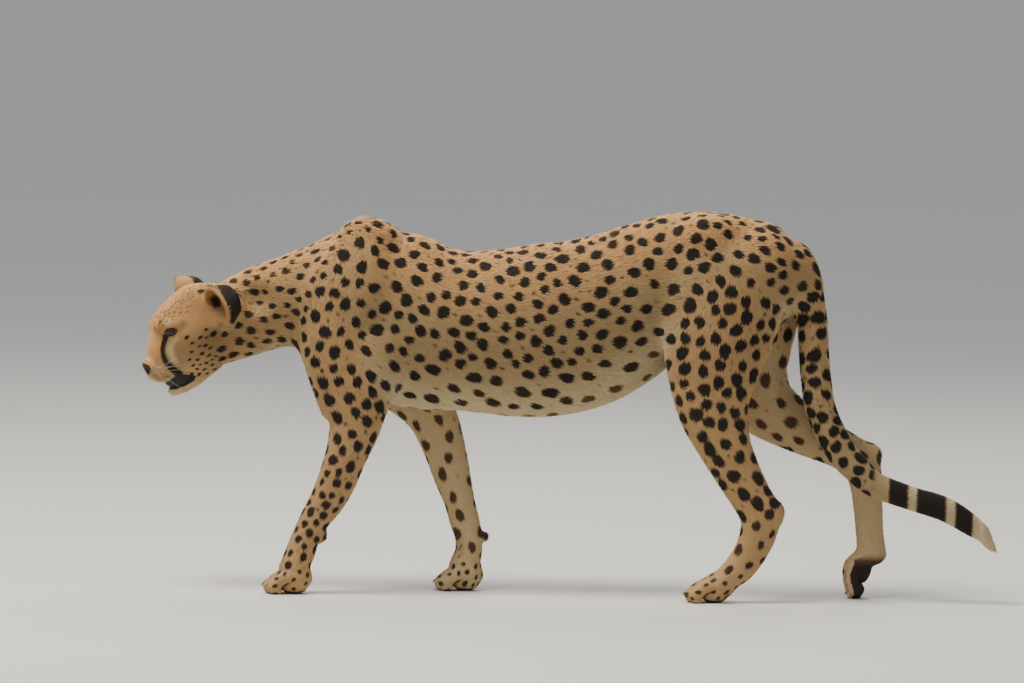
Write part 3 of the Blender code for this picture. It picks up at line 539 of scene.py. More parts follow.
def body_forms():
    """The trunk, neck, tail and legs, in the world's own axes."""
    trunk = [(x, 0, (top + under) / 2, half, (top - under) / 2) for x, top, under, half in TRUNK]
    forms = [limb(trunk, 0.03), limb(NECK, 0.05), limb(TAIL, 0.03)]
    forms += [limb(rows, 0.032) for rows in LEGS.values()]
    for side in (-1, 1):
        # The tops of the shoulder blades, the breast, the points of the hips and the rump.
        forms += [
            lump((-0.261, side * 0.024, 0.634), (0.045, 0.020, 0.029), 0.028),
            lump((-0.335, side * 0.030, 0.440), (0.036, 0.034, 0.062), 0.035),
            lump((0.345, side * 0.040, 0.655), (0.045, 0.026, 0.030), 0.035),
            lump((0.440, side * 0.040, 0.590), (0.062, 0.036, 0.062), 0.035),
        ]
    # Elbows, hocks and the pads behind the wrists.
    return forms + [
        lump((-0.245, -0.066, 0.400), (0.045, 0.030, 0.065), 0.035),
        lump((-0.205, 0.066, 0.425), (0.055, 0.030, 0.055), 0.035),
        lump((0.474, -0.065, 0.163), (0.0175, 0.0130, 0.0200), 0.016),
        lump((0.6500, 0.064, 0.262), (0.0190, 0.0130, 0.0170), 0.016),
        lump((-0.3320, -0.060, 0.105), (0.0110, 0.0105, 0.0130), 0.012),
        lump((-0.0430, 0.058, 0.098), (0.0120, 0.0090, 0.0100), 0.010),
    ]


HEAD_AXES = head_axes()
LIDS = across(EYE_WIDTHWAYS, GAZE)
BODY_FORMS = body_forms()
HEAD_FORMS = head_forms()
EAR_FORMS = ear_forms("left") + ear_forms("right")
PAW_FORMS = paw_forms()
PAW_FRAMES = {name: paw_frame(name) for name in PAWS}
LEFT_EYE = np.array(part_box("eye_left")).sum(0) / 2
SHIFT = LEFT_EYE - (BROW + EYE_PLACE @ HEAD_AXES)


def in_head(points):
    """Places in the head's own forward, up and left."""
    return (points - BROW) @ HEAD_AXES.T


def folded(local):
    """Places in the head, with its right half laid over its left."""
    return local * np.where(local[:, 2:] < 0, (1, 1, -1), 1)


def ramp(values, start, end):
    """A smooth rise from nought at start to one at end."""
    share = np.clip((values - start) / (end - start), 0, 1)
    return share * share * (3 - 2 * share)


def away(points, place):
    """How far each point is from a place."""
    return np.linalg.norm(points - np.asarray(place), axis=1)


def away_from_segment(points, start, end):
    """How far each point is from a straight piece of line, and the share of the way along it."""
    way = end - start
    along = np.clip((points - start) @ way / (way @ way), 0, 1)
    return np.linalg.norm(points - start - along[:, None] * way, axis=1), along


def away_from_line(points, rows):
    """How far each point is from a smooth line through rows of places, and the share of the way along it."""
    line = flow(rows[:, :3], 4)
    nearest = np.full(len(points), 10 * FAR)
    share = np.zeros(len(points))
    for number, (start, end) in enumerate(zip(line[:-1], line[1:])):
        gap, along = away_from_segment(points, start, end)
        closer = gap < nearest
        nearest[closer] = gap[closer]
        share[closer] = ((number + along) / (len(line) - 1))[closer]
    return nearest, share


def inside_outline(places, outline):
    """How far each place lies outside a flat outline, negative within."""
    gap = np.full(len(places), FAR)
    within = np.zeros(len(places), bool)
    for start, end in zip(outline, np.roll(outline, -1, 0)):
        gap = np.minimum(gap, away_from_segment(places, start, end)[0])
        spans = (places[:, 1] < start[1]) != (places[:, 1] < end[1])
        rise = end[1] - start[1] or 1.0
        crossing = start[0] + (places[:, 1] - start[1]) / rise * (end[0] - start[0])
        within ^= spans & (places[:, 0] < crossing)
    return np.where(within, -gap, gap)


def lid_reach(half):
    """How many of the lids' half openings each place is from the middle of the left eye's opening."""
    opening = (half - EYE_PLACE - LID_FORWARD * LIDS[2]) @ LIDS.T / LID_OPENING
    return np.linalg.norm(opening * (1, 1, 0.6), axis=1)


def nose_reach(half):
    """How many of the nose pad's half sizes each place is from its middle."""
    return np.linalg.norm((half - NOSE_PAD) / NOSE_HALVES, axis=1)


def measure(points):
    """How far each point lies outside the whole animal's coat, negative within."""
    flesh = joined(np.full(len(points), FAR), BODY_FORMS, points)
    for ball, axes in PAW_FRAMES.values():
        near = np.nonzero(((points - ball) ** 2).sum(1) < PAW_REACH**2)[0]
        flesh[near] = joined(flesh[near], PAW_FORMS, (points[near] - ball) @ axes.T)
    near = np.nonzero(((points - BROW) ** 2).sum(1) < HEAD_REACH**2)[0]
    local = in_head(points[near])
    flesh[near] = joined(joined(flesh[near], HEAD_FORMS, folded(local)), EAR_FORMS, local)
    return flesh


def in_ear(local, side):
    """Places in one ear's own axes, how many of its half sizes off they are, its axes and its half sizes."""
    spring, tip, _ = ear(side)
    axes = ear_axes(side)
    halves = np.array([EAR_HALF_HEIGHT * np.linalg.norm(tip - spring), EAR_HALF_WIDTH, EAR_DEPTH])
    place = (local - spring - EAR_MIDDLE * (tip - spring)) @ axes.T
    place[:, 1] *= 1 if side == "left" else -1
    return place, np.linalg.norm(place / halves, axis=1), axes, halves


def coat_depth(points):
    """How far the skin lies under the coat's tips, which is nothing on the nose, lips, lids and soles."""
    local = in_head(points)
    half = folded(local)
    z = points[:, 2]
    head = ramp(-points[:, 0], 0.48, 0.56)
    face = NAPE_COAT - LESS_ON_FACE * ramp(half[:, 0], -0.09, 0.01)
    face = face * ramp(away(half, NOSE_PAD), 0.010, 0.018)
    face *= ramp(away(half, EYE_PLACE), EYE_RADIUS + 0.0020, EYE_RADIUS + 0.0080)
    face *= ramp(inside_outline(half[:, :2], MOUTH), 0.0, 0.006)
    body = LEG_COAT + MORE_ON_BODY * ramp(z, 0.20, 0.42)
    body = body * (0.35 + 0.65 * ramp(z, 0.02, 0.12)) * ramp(z, 0.0, 0.010)
    depth = body * (1 - head) + face * head
    for side in EARS:
        _, reach, _, _ = in_ear(local, side)
        depth = EAR_COAT + np.maximum(depth - EAR_COAT, 0) * ramp(reach, 1.10, 1.45)
    return depth


def skin_measure(points):
    """How far each point lies outside the skin, which is flat where it meets the floor."""
    return np.maximum(measure(points) + coat_depth(points), -points[:, 2])


def measured(field, points):
    """The field at each point, worked out in pieces small enough for the memory."""
    starts = range(0, len(points), POINTS_AT_ONCE)
    parts = [field(points[start : start + POINTS_AT_ONCE]) for start in starts]
    return np.concatenate(parts) if parts else np.zeros(0)


def net(field, low, high, cell):
    """Points and quads of the field's surface within a box."""
    low = np.asarray(low, float)
    block = 4
    counts = (np.ceil((np.asarray(high) - low) / cell / block).astype(int) + 1) * block
    values = np.full(counts, FAR)
    blocks = np.indices(counts // block).reshape(3, -1).T * block
    middle = measured(field, low + (blocks + (block - 1) / 2) * cell)
    busy = np.abs(middle) < 1.9 * block * cell
    corner = np.indices((block,) * 3).reshape(3, -1).T
    every = (blocks[~busy & (middle < 0)][:, None] + corner).reshape(-1, 3)
    values[tuple(every.T)] = -FAR
    every = (blocks[busy][:, None] + corner).reshape(-1, 3)
    values[tuple(every.T)] = measured(field, low + every * cell)
    grid = openvdb.FloatGrid(FAR)
    grid.copyFromArray(values)
    points, quads = grid.convertToQuads(0.0)
    return low + points * cell, quads.astype(int)


def drawn_to_surface(field, points, cell, rounds=2):
    """Points moved along the slope of the distance until they lie on the surface."""
    nudge = 0.25 * cell
    for _ in range(rounds):
        here = measured(field, points)
        ahead = [measured(field, points + nudge * axis) for axis in np.eye(3)]
        slope = (np.column_stack(ahead) - here[:, None]) / nudge
        step = here[:, None] * slope / np.maximum((slope**2).sum(1, keepdims=True), 0.25)
        points = points - np.clip(step, -0.5 * cell, 0.5 * cell)
    return points


class Strand:
    """A middle line that the coat lies along, from where its hair springs to where it points."""

    def __init__(self, rows):
        """Takes rows of x, y, z and half width."""
        run = flow(rows, 4)
        self.centre, self.half = run[:, :3], run[:, 3]
        self.along = unit(np.gradient(self.centre, axis=0))
        steps = np.linalg.norm(np.diff(self.centre, axis=0), axis=1)
        self.length = np.concatenate([[0], np.cumsum(steps)])
        self.side = unit(np.array([0, 1, 0]) - self.along[:, 1:2] * self.along)
        self.top = np.cross(self.side, self.along)

    def nearest(self, points):
        """The row of the line nearest to each point, and how far off it is in half widths."""
        squares = (self.centre**2).sum(1) - 2 * points @ self.centre.T
        row = squares.argmin(1)
        return row, away(points, self.centre[row]) / self.half[row]

    def unrolled(self, points):
        """Each point's length along the line and angle round it."""
        row, _ = self.nearest(points)
        offset = points - self.centre[row]
        along = self.length[row] + (offset * self.along[row]).sum(1)
        return along, np.arctan2((offset * self.side[row]).sum(1), (offset * self.top[row]).sum(1))


def with_half(rows):
    """Rows of x, y, z and one half width, from rows with a half width and a half depth."""
    return np.column_stack([rows[:, :3], rows[:, 3:].mean(1)])


def strands():
    """Every middle line of the animal by name, the legs' ones going on to the tips of the toes."""
    lines = {"head": np.column_stack([BROW + NOSE_TO_NAPE[:, :3] @ HEAD_AXES, NOSE_TO_NAPE[:, 3]])}
    for side in EARS:
        spring, tip, _ = ear(side)
        ends = np.array([spring, (spring + tip) / 2, tip])
        lines["ear_" + side] = np.column_stack([BROW + ends @ HEAD_AXES, np.full(3, 0.022)])
    lines["neck"] = with_half(NECK[::-1])
    lines["trunk"] = np.array(
        [(x, 0, (top + under) / 2, (half + (top - under) / 2) / 2) for x, top, under, half in TRUNK]
    )
    lines["tail"] = with_half(TAIL)
    for name, rows in LEGS.items():
        ball, axes = PAW_FRAMES[name]
        toes = ball + np.array([(0.004, 0, 0.022), (0.042, 0, 0.012)]) @ np.linalg.inv(axes).T
        lines[name] = np.vstack([with_half(rows[1:]), np.column_stack([toes, (0.026, 0.020)])])
    return {name: Strand(rows) for name, rows in lines.items()}


# How sharply a place passes from one middle line to the next, and how far the body's coat droops off its own.
LINE_SHARPNESS = 6
COAT_DROOP = 0.40
STRANDS = strands()
CHARTS = list(STRANDS)


def on(chart, *names):
    """Whether each point's middle line is one of those named."""
    return np.isin(chart, [CHARTS.index(name) for name in names])


def belonging(points):
    """How much of each point belongs to each middle line, and the way that each line runs near it."""
    gaps, ways = [], []
    for strand in STRANDS.values():
        row, gap = strand.nearest(points)
        gaps.append(gap)
        ways.append(strand.along[row])
    gaps, ways = np.array(gaps), np.array(ways)
    gaps[CHARTS.index("head")] *= 1 - 0.7 * ramp(in_head(points)[:, 0], -0.06, -0.03)
    shares = np.exp(-LINE_SHARPNESS * (gaps - gaps.min(0)))
    return shares / shares.sum(0), ways


def laid(points, normals):
    """Which middle line each point belongs to, and the way that the coat lies there, flat along the skin."""
    shares, ways = belonging(points)
    way = (shares[:, :, None] * ways).sum(0)
    droop = COAT_DROOP * (shares[CHARTS.index("trunk")] + shares[CHARTS.index("neck")])
    way = way + droop[:, None] * DOWN
    flat = way - (way * normals).sum(1, keepdims=True) * normals
    return shares.argmax(0), unit(flat + 1e-6 * DOWN)


def trunk_edges(x):
    """The heights of the trunk's top and underside at each x."""
    return [np.interp(x, TRUNK[:, 0], TRUNK[:, column]) for column in (1, 2)]


def named_by(rules, points, normals, chart):
    """The name that the last rule to fit each place gives it."""
    x, y, z = points.T
    local = in_head(points)
    forward, up, _ = folded(local).T
    measures = {
        "x": x, "y": y, "z": z, "over_belly": z - trunk_edges(x)[1],
        "faces_up": normals[:, 2], "faces_out": normals[:, 1] * np.sign(y),
        "forward": forward, "up": up, "left": local[:, 2], "over_brow": up + 0.30 * np.maximum(forward, 0),
    }
    names = np.full(len(points), "", dtype=object)
    for name, lines, *limits in rules:
        fits = on(chart, *(lines or CHARTS))
        for measure_name, least, most in limits:
            fits &= (measures[measure_name] > least) & (measures[measure_name] < most)
        names[fits] = name
    return names


def scattered(points, gaps, kept=(), kept_gaps=()):
    """The numbers of those points that keep their gap from one another, taken in order."""
    shelf = {}
    for place, gap in zip(kept, kept_gaps):
        shelf.setdefault(tuple((place // SHELF_CELL).astype(int).tolist()), []).append((*place.tolist(), gap))
    chosen = []
    around = [(i, j, k) for i in (-1, 0, 1) for j in (-1, 0, 1) for k in (-1, 0, 1)]
    cells = (points // SHELF_CELL).astype(int).tolist()
    for number, (place, gap, (i, j, k)) in enumerate(zip(points.tolist(), gaps.tolist(), cells)):
        x, y, z = place
        crowded = any(
            (x - ox) ** 2 + (y - oy) ** 2 + (z - oz) ** 2 < (gap + other) ** 2 / 4
            for di, dj, dk in around
            for ox, oy, oz, other in shelf.get((i + di, j + dj, k + dk), ())
        )
        if not crowded:
            chosen.append(number)
            shelf.setdefault((i, j, k), []).append((x, y, z, gap))
    return np.array(chosen)


def areas(corners):
    """The area of each triangle."""
    return np.linalg.norm(np.cross(corners[:, 1] - corners[:, 0], corners[:, 2] - corners[:, 0]), axis=1) / 2


def sown(points, normals, triangles, density, count, random):
    """Places scattered evenly over a mesh by each triangle's density, with their normals."""
    corners = points[triangles]
    share = np.cumsum(areas(corners) * density)
    wanted = (np.arange(count) + random.random(count)) / count * share[-1]
    chosen = np.minimum(np.searchsorted(share, wanted), len(triangles) - 1)
    first, second = random.random((2, count))
    root = np.sqrt(first)
    weights = np.column_stack([1 - root, root * (1 - second), root * second])
    place = (corners[chosen] * weights[:, :, None]).sum(1)
    return place, unit((normals[triangles[chosen]] * weights[:, :, None]).sum(1))


class Spots:
    """The coat's spots: irregular ovals strewn over the skin, with faint flecks between them."""

    def __init__(self, points, normals, triangles):
        """Strews the spots over a mesh, then the flecks where there is room."""
        random = np.random.default_rng(SEED)
        even = np.ones(len(triangles))
        places, normals = sown(points, normals, triangles, even, SPOT_CANDIDATES, random)
        order = random.permutation(len(places))
        places, normals = places[order], normals[order]
        chart, way = laid(places, normals)
        regions = named_by(REGION_RULES, places, normals, chart)
        gap, radius, darkness, stretch = np.array([SPOTS[region] for region in regions]).T
        vary = random.uniform(0.84, 1.14, len(places))
        chosen = scattered(places, gap * vary)
        chosen = chosen[darkness[chosen] > 0]
        flecks = scattered(places, gap * 0.50, places[chosen], gap[chosen] * 1.05)
        flecks = flecks[(radius[flecks] > 0.005) & (darkness[flecks] > 0.6)]
        flecks = flecks[random.random(len(flecks)) < FLECK_SHARE]
        self.radius = np.concatenate([
            radius[chosen] * vary[chosen] ** 1.3,
            FLECK_RADIUS * random.uniform(0.6, 1.2, len(flecks)),
        ])
        self.darkness = np.concatenate([
            darkness[chosen] * random.uniform(0.85, 1.0, len(chosen)),
            FLECK_DARKNESS * random.uniform(0.4, 1.2, len(flecks)),
        ])
        every = np.concatenate([chosen, flecks])
        self.place, self.way, self.stretch = places[every], way[every], stretch[every]
        self.side = np.cross(normals[every], self.way)
        self.turn = random.uniform(0, math.tau, (len(every), 2))
        self.tree = KDTree(len(every))
        for number, place in enumerate(self.place.tolist()):
            self.tree.insert(place, number)
        self.tree.balance()

    def darkness_at(self, points, soft):
        """How dark the spots make each point, with their edges softened over a share of their radius."""
        near = np.array([[found[1] for found in self.tree.find_n(place, 4)] for place in points.tolist()])
        dark = np.zeros(len(points))
        for number in near.T:
            offset = points - self.place[number]
            along = (offset * self.way[number]).sum(1) / self.stretch[number]
            aside = (offset * self.side[number]).sum(1)
            deep = np.maximum((offset**2).sum(1) - (along * self.stretch[number]) ** 2 - aside**2, 0)
            reach = np.sqrt(along**2 + aside**2 + 0.5 * deep) / self.radius[number]
            angle = np.arctan2(aside, along)
            first, second = self.turn[number].T
            reach *= 1 + 0.09 * np.sin(2 * angle + first) + 0.05 * np.sin(3 * angle + second)
            dark = np.maximum(dark, self.darkness[number] * (1 - ramp(reach, 1 - soft, 1 + soft)))
        return dark


def bare_places(points, normals):
    """Where no hair grows: the nose, the lips and mouth, the lids' edges and the soles."""
    half = folded(in_head(points))
    facing_down, z = -normals[:, 2], points[:, 2]
    return np.max([
        1 - ramp(nose_reach(half), 0.92, 1.00),
        1 - ramp(inside_outline(half[:, :2], MOUTH), -0.0015, 0.0),
        1 - ramp(lid_reach(half), 1.00, 1.12),
        ramp(facing_down, 0.55, 0.75) * (1 - ramp(z, 0.004, 0.008)),
        ramp(facing_down, 0.60, 0.80) * (1 - ramp(z, 0.030, 0.040)),
    ], axis=0)


def ear_marks(local, normals):
    """Where the ears are and how dark and pale: black backs, tan rims, and pale insides round a hollow
    darkened with painted shade.
    """
    on_ear = np.zeros(len(local), bool)
    dark, pale = np.zeros(len(local)), np.zeros(len(local))
    for side in EARS:
        place, reach, axes, halves = in_ear(local, side)
        length, aside, open_way = (place / halves).T
        where = (reach < 1.20) & (length > -0.85)
        facing = normals @ axes[2]
        back = ramp(aside - 0.5 * open_way, -0.50, -0.30) * ramp(-facing, -0.20, 0.05)
        back *= 1 - ramp(place[:, 2], 0.002, 0.007)
        # Painted shade: the deep part of each cup, on its inner side, is darkened where the recess lies in
        # shade.
        hollow_painted_shade = 0.80 * (1 - ramp(away(place * (0.7, 1, 1), (-0.001, -0.020, -0.010)), 0.004, 0.015))
        hollow_painted_shade *= ramp(facing, -0.3, 0.0)
        inside = ramp(facing, 0.0, 0.4) * (1 - ramp(np.hypot(length, aside), 0.55, 0.95))
        dark = np.where(where, np.maximum(0.97 * back, hollow_painted_shade), dark)
        pale = np.where(where, 0.45 * inside * ramp(length, -0.6, -0.2), pale)
        on_ear |= where
    return on_ear, dark, pale


def head_marks(local, dark, pale, warm):
    """The face's markings laid over the body's: tear lines, dark rims and lips, pale patches, the open mouth
    painted black as painted shade, and the sides darker, partly browner coat and partly painted shade.
    """
    half = folded(local)
    forward, up, out = half.T
    gap, share = away_from_line(half * FLATTENED, TEAR_LINE[:, :3] * FLATTENED)
    width = np.interp(share, np.linspace(0, 1, len(TEAR_LINE)), TEAR_LINE[:, 3])
    streak, _ = away_from_line(half * FLATTENED, PALE_STREAK * FLATTENED)
    stroke, _ = away_from_line(half, BROW_STROKE)
    patches = [
        strength * (1 - ramp(away(half, place), 0.2 * radius, radius))
        for *place, radius, strength in PALE_PATCHES
    ]
    patches += [0.70 * (1 - ramp(streak, 0.0015, 0.0085)), 0.70 * ramp(-up, 0.088, 0.112)]
    patch = np.max(patches, axis=0)
    # The head's sides, not its bridge, are darkened towards brown: partly a browner coat and partly painted
    # shade where the temples lie away from the light.
    dusk_and_painted_shade = 0.16 * ramp(out, 0.010, 0.030) * ramp(forward, -0.120, -0.060) * ramp(up, -0.090, -0.040)
    darks = [
        dark,
        (1 - ramp(gap / width, 0.80, 1.15)) * ramp(out, 0.006, 0.012),
        1 - ramp(lid_reach(half), 1.12, 1.42),
        # Black lips, and the open mouth inside them painted black as painted shade.
        1 - ramp(inside_outline(half[:, :2], MOUTH), -0.0002, 0.0012),
        1 - ramp(nose_reach(half), 0.94, 1.08),
        0.55 * (1 - ramp(stroke, 0.0012, 0.0040)),
        dusk_and_painted_shade * (1 - patch),
    ]
    golden = ramp(up + 0.35 * forward, -0.050, 0.000) * ramp(forward, -0.130, -0.070)
    return np.max(darks, axis=0), np.maximum(0.4 * pale, patch), np.maximum(warm, golden)


def markings(points, normals, spots, soft):
    """How dark, how pale and how golden the coat is at each point, from nought to one."""
    x, y, z = points.T
    shares, _ = belonging(points)
    chart = shares.argmax(0)
    top, under = trunk_edges(x)
    height = (z - under) / (top - under)
    legs, tail = on(chart, *PAWS), on(chart, "tail")
    leg_share, tail_share, neck_share = [
        shares[[CHARTS.index(name) for name in names]].sum(0) for names in (PAWS, ("tail",), ("neck", "head"))
    ]
    rest = 1 - leg_share - tail_share - neck_share
    inner = ramp(-normals[:, 1] * np.sign(y), -0.1, 0.7) * (1 - ramp(z, 0.42, 0.52))
    belly = 1 - ramp(height, 0.02, 0.34)
    throat = ramp(-normals[:, 2], 0.1, 0.9)
    nape = ramp(normals[:, 2], 0.20, 0.90)
    pale = leg_share * (0.10 + 0.42 * inner) + tail_share * 0.20 + neck_share * (0.05 + 0.55 * throat)
    pale += rest * (0.10 + 0.80 * belly)
    pale = np.maximum(pale, 0.85 * tail * ramp(x, TAIL_RINGS[0][0] - 0.03, TAIL_RINGS[0][1]))
    warm = leg_share * 0.35 + neck_share * (0.25 + 0.75 * nape) + rest * ramp(height, 0.45, 1.0)
    warm += tail_share * 0.55 * ramp(z, 0.25, 0.55)
    warm = np.maximum(warm, ramp(normals[:, 2], 0.4, 0.9) * ramp(z, 0.45, 0.55))
    darks = [spots.darkness_at(points, soft) * (1 - tail * ramp(x, *TAIL_SPOTS_END))]
    for start, end in TAIL_RINGS:
        begun, ended = (ramp(x, edge - RING_EDGE, edge + RING_EDGE) for edge in (start, end))
        darks.append(0.98 * (begun * (1 - ended)) * tail)
    tiptoe = legs & (x > TIPTOE_SPAN[0]) & (normals[:, 0] > -0.2)
    darks.append(0.85 * tiptoe * (1 - ramp(z, 0.055, 0.085)))
    darks.append(0.85 * ramp(-normals[:, 2], 0.5, 0.8) * (z < 0.03))
    for place in WRIST_PADS:
        darks.append(0.95 * (1 - ramp(away(points, place), 0.8 * WRIST_PAD_RADIUS, WRIST_PAD_RADIUS)))
    dark = np.max(darks, axis=0)
    near = np.nonzero(on(chart, *HEAD_LINES) | (away(points, BROW) < FACE_REACH))[0]
    local = in_head(points[near])
    on_ear, ear_dark, ear_pale = ear_marks(local, normals[near] @ HEAD_AXES.T)
    under_face = [
        np.where(on_ear, one, body[near])
        for one, body in ((ear_dark, dark), (ear_pale, pale), (0.6, warm))
    ]
    for values, new in zip((dark, pale, warm), head_marks(local, *under_face)):
        values[near] = new
    return dark, pale, warm


def kept_faces(points, quads, keep):
    """The points and quads left when only some points are kept."""
    quads = quads[keep[quads].all(1)]
    used = np.unique(quads)
    number = np.zeros(len(points), int)
    number[used] = np.arange(len(used))
    return points[used], number[quads]


def open_loop(quads):
    """The points round a mesh's longest open edge, in the order of its faces."""
    ends = np.concatenate([quads[:, [i, (i + 1) % 4]] for i in range(4)])
    _, first, uses = np.unique(np.sort(ends, 1), axis=0, return_index=True, return_counts=True)
    after = dict(ends[first[uses == 1]].tolist())
    loops = []
    while after:
        start = next(iter(after))
        loop = [start]
        step = after.pop(start)
        while step != start and step in after:
            loop.append(step)
            step = after.pop(step)
        loops.append(loop)
    return max(loops, key=len)


def zipped(points, behind, before):
    """Triangles that join two open loops, the second of which runs the other way round."""
    before = before[::-1]
    start = int(np.argmin(away(points[before], points[behind[0]])))
    before = before[start:] + before[: start + 1]
    behind = behind + behind[:1]
    triangles = []
    i = j = 0
    while i < len(behind) - 1 or j < len(before) - 1:
        first = second = math.inf
        if i < len(behind) - 1:
            first = np.linalg.norm(points[behind[i + 1]] - points[before[j]])
        if j < len(before) - 1:
            second = np.linalg.norm(points[before[j + 1]] - points[behind[i]])
        if first <= second:
            triangles.append((behind[i + 1], behind[i], before[j]))
            i += 1
        else:
            triangles.append((before[j], before[j + 1], behind[i]))
            j += 1
    return triangles


def skin_faces():
    """Points and faces of the whole skin: a fine net for the head zipped to a coarser one for the body."""
    body, body_quads = net(skin_measure, *BODY_NET, BODY_CELL)
    head, head_quads = net(skin_measure, *HEAD_NET, HEAD_CELL)
    body, body_quads = kept_faces(body, body_quads, body[:, 0] > NECK_SEAM + SEAM_GAP)
    head, head_quads = kept_faces(head, head_quads, head[:, 0] < NECK_SEAM - SEAM_GAP)
    body = drawn_to_surface(skin_measure, body, BODY_CELL)
    head = drawn_to_surface(skin_measure, head, HEAD_CELL)
    points = np.vstack([body, head])
    head_quads = head_quads + len(body)
    join = zipped(points, open_loop(body_quads), open_loop(head_quads))
    return points, body_quads.tolist() + head_quads.tolist() + join


def is_paw(place):
    """Whether a place is in one of the paws, of which the one on tiptoe is the higher."""
    on_tiptoe = TIPTOE_SPAN[0] < place[0] < TIPTOE_SPAN[1]
    return place[2] < (TIPTOE_HEIGHT if on_tiptoe else PAW_HEIGHT)


def refine_paws(mesh):
    """Splits the paws' faces in four and draws the new points to the skin."""
    shift = Matrix.Translation(Vector(SHIFT))
    mesh.transform(shift.inverted())
    shape = bmesh.new()
    shape.from_mesh(mesh)
    low = [face for face in shape.faces if is_paw(face.calc_center_median())]
    edges = {edge for face in low for edge in face.edges}
    bmesh.ops.subdivide_edges(shape, edges=list(edges), cuts=1, use_grid_fill=True)
    moved = [vertex for vertex in shape.verts if is_paw(vertex.co)]
    places = drawn_to_surface(skin_measure, np.array([vertex.co for vertex in moved]), PAW_CELL)
    for vertex, place in zip(moved, places):
        vertex.co = (place[0], place[1], max(place[2], 0.0))
    shape.to_mesh(mesh)
    shape.free()
    mesh.transform(shift)
    mesh.shade_smooth()


def pulled(items, field, kind):
    """Three values of one field of each of a mesh's items, as rows."""
    values = np.empty(len(items) * 3, kind)
    items.foreach_get(field, values)
    return values.reshape(-1, 3)


def arrays_of(piece):
    """A mesh's points, normals and triangles, in the animal's own axes."""
    mesh = piece.data
    points = pulled(mesh.vertices, "co", np.float32)
    normals = pulled(mesh.vertex_normals, "vector", np.float32)
    mesh.calc_loop_triangles()
    triangles = pulled(mesh.loop_triangles, "vertices", np.int32)
    return points.astype(float) - SHIFT, normals.astype(float), triangles


def add_object(name, data):
    """A new object of a mesh, a light or a camera, in the scene."""
    holder = bpy.data.objects.new(name, data)
    bpy.context.scene.collection.objects.link(holder)
    return holder


def add_piece(name, points, faces):
    """A new smooth mesh object of these points, given in the animal's own axes, and faces of any sizes."""
    mesh = bpy.data.meshes.new(name)
    mesh.from_pydata((points + SHIFT).tolist(), [], faces)
    mesh.shade_smooth()
    return add_object(name, mesh)


def add_strands(name, points, triangles, normals):
    """A new mesh object of many small triangles, given in the animal's own axes, with each point's normal."""
    mesh = bpy.data.meshes.new(name)
    mesh.vertices.add(len(points))
    mesh.vertices.foreach_set("co", (points + SHIFT).astype(np.float32).ravel())
    mesh.loops.add(triangles.size)
    mesh.loops.foreach_set("vertex_index", triangles.astype(np.int32).ravel())
    mesh.polygons.add(len(triangles))
    mesh.polygons.foreach_set("loop_start", np.arange(0, triangles.size, 3, dtype=np.int32))
    mesh.polygons.foreach_set("use_smooth", np.ones(len(triangles), bool))
    mesh.update(calc_edges=True)
    mesh.normals_split_custom_set_from_vertices(normals.astype(np.float32))
    return add_object(name, mesh)


def put_colours(piece, dark, pale, warm, tone):
    """Keeps the markings on a mesh's points, for its material to read."""
    marks = piece.data.attributes.new("coat", "FLOAT_COLOR", "POINT")
    marks.data.foreach_set("color", np.column_stack([dark, pale, warm, tone]).astype(np.float32).ravel())


def put_number(piece, name, values):
    """Keeps one number for each of a mesh's points, for its material to read."""
    numbers = piece.data.attributes.new(name, "FLOAT", "POINT")
    numbers.data.foreach_set("value", values.astype(np.float32))


def dress(piece, material, slot, *nodes):
    """Gives a piece its material and body, and hides the solid model's nodes that it stands for. The slot is
    not used.
    """
    piece.data.materials.append(material)
    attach(piece, "root")
    if nodes:
        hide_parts(*nodes)


class Hair:
    """Roots of many tufts or locks: their places, the way that they lie, their sizes and their colours."""

    def __init__(self, points, normals, triangles, density, count, random):
        """Sows the roots and turns each a little off the coat's lie."""
        place, normal = sown(points, normals, triangles, density, count, random)
        keep = random.random(len(place)) > bare_places(place, normal) * 1.02
        self.place, self.normal = place[keep], normal[keep]
        self.chart, way = laid(self.place, self.normal)
        side = np.cross(self.normal, way)
        turn = random.normal(0, TUFT_TURN, len(way))[:, None]
        way = unit(way * np.cos(turn) + side * np.sin(turn))
        self.side = np.cross(self.normal, way)
        tail = STRANDS["tail"].along[-1]
        tip = on(self.chart, "tail") * ramp(self.place[:, 0], TAIL_TIP, TAIL_TIP + 0.010)
        lift = 3 * tip * np.maximum(self.normal @ tail, 0)
        self.way = unit(way + lift[:, None] * tail)
        self.tone = random.random(len(self.place))

    def colour(self, spots, length):
        """Gives each tuft the markings of the place that its outer half covers."""
        seen = self.place + COLOUR_PLACE * length[:, None] * self.way
        self.marks = markings(seen, self.normal, spots, TUFT_SOFTNESS)

    def bake_places(self):
        """Each root's place on a flat unwrap of the skin: a band for each middle line, unrolled round it."""
        places = np.zeros((len(self.place), 2))
        present = np.unique(self.chart)
        for band, chart in enumerate(present):
            where = self.chart == chart
            along, angle = STRANDS[CHARTS[chart]].unrolled(self.place[where])
            span = max(along.max() - along.min(), 0.01)
            places[where, 0] = 0.01 + 0.98 * (along - along.min()) / span
            places[where, 1] = (band + 0.02 + 0.96 * (angle + math.pi) / math.tau) / len(present)
        return places


def tuft_corners(hair, length, width, rise):
    """Corners and normals of tufts, closed wedges of four triangles that lie along the skin, ridged."""
    way, side, normal = hair.way, hair.side, hair.normal
    root = hair.place - 0.10 * rise * normal
    corners = [
        root - width / 2 * side,
        root + width / 2 * side,
        root + 0.42 * length * way + (0.62 * rise + 0.10 * width) * normal,
        root + length * way + rise * normal,
    ]
    return corners, [normal - 0.42 * side, normal + 0.42 * side, normal, 0.9 * normal + 0.25 * way]


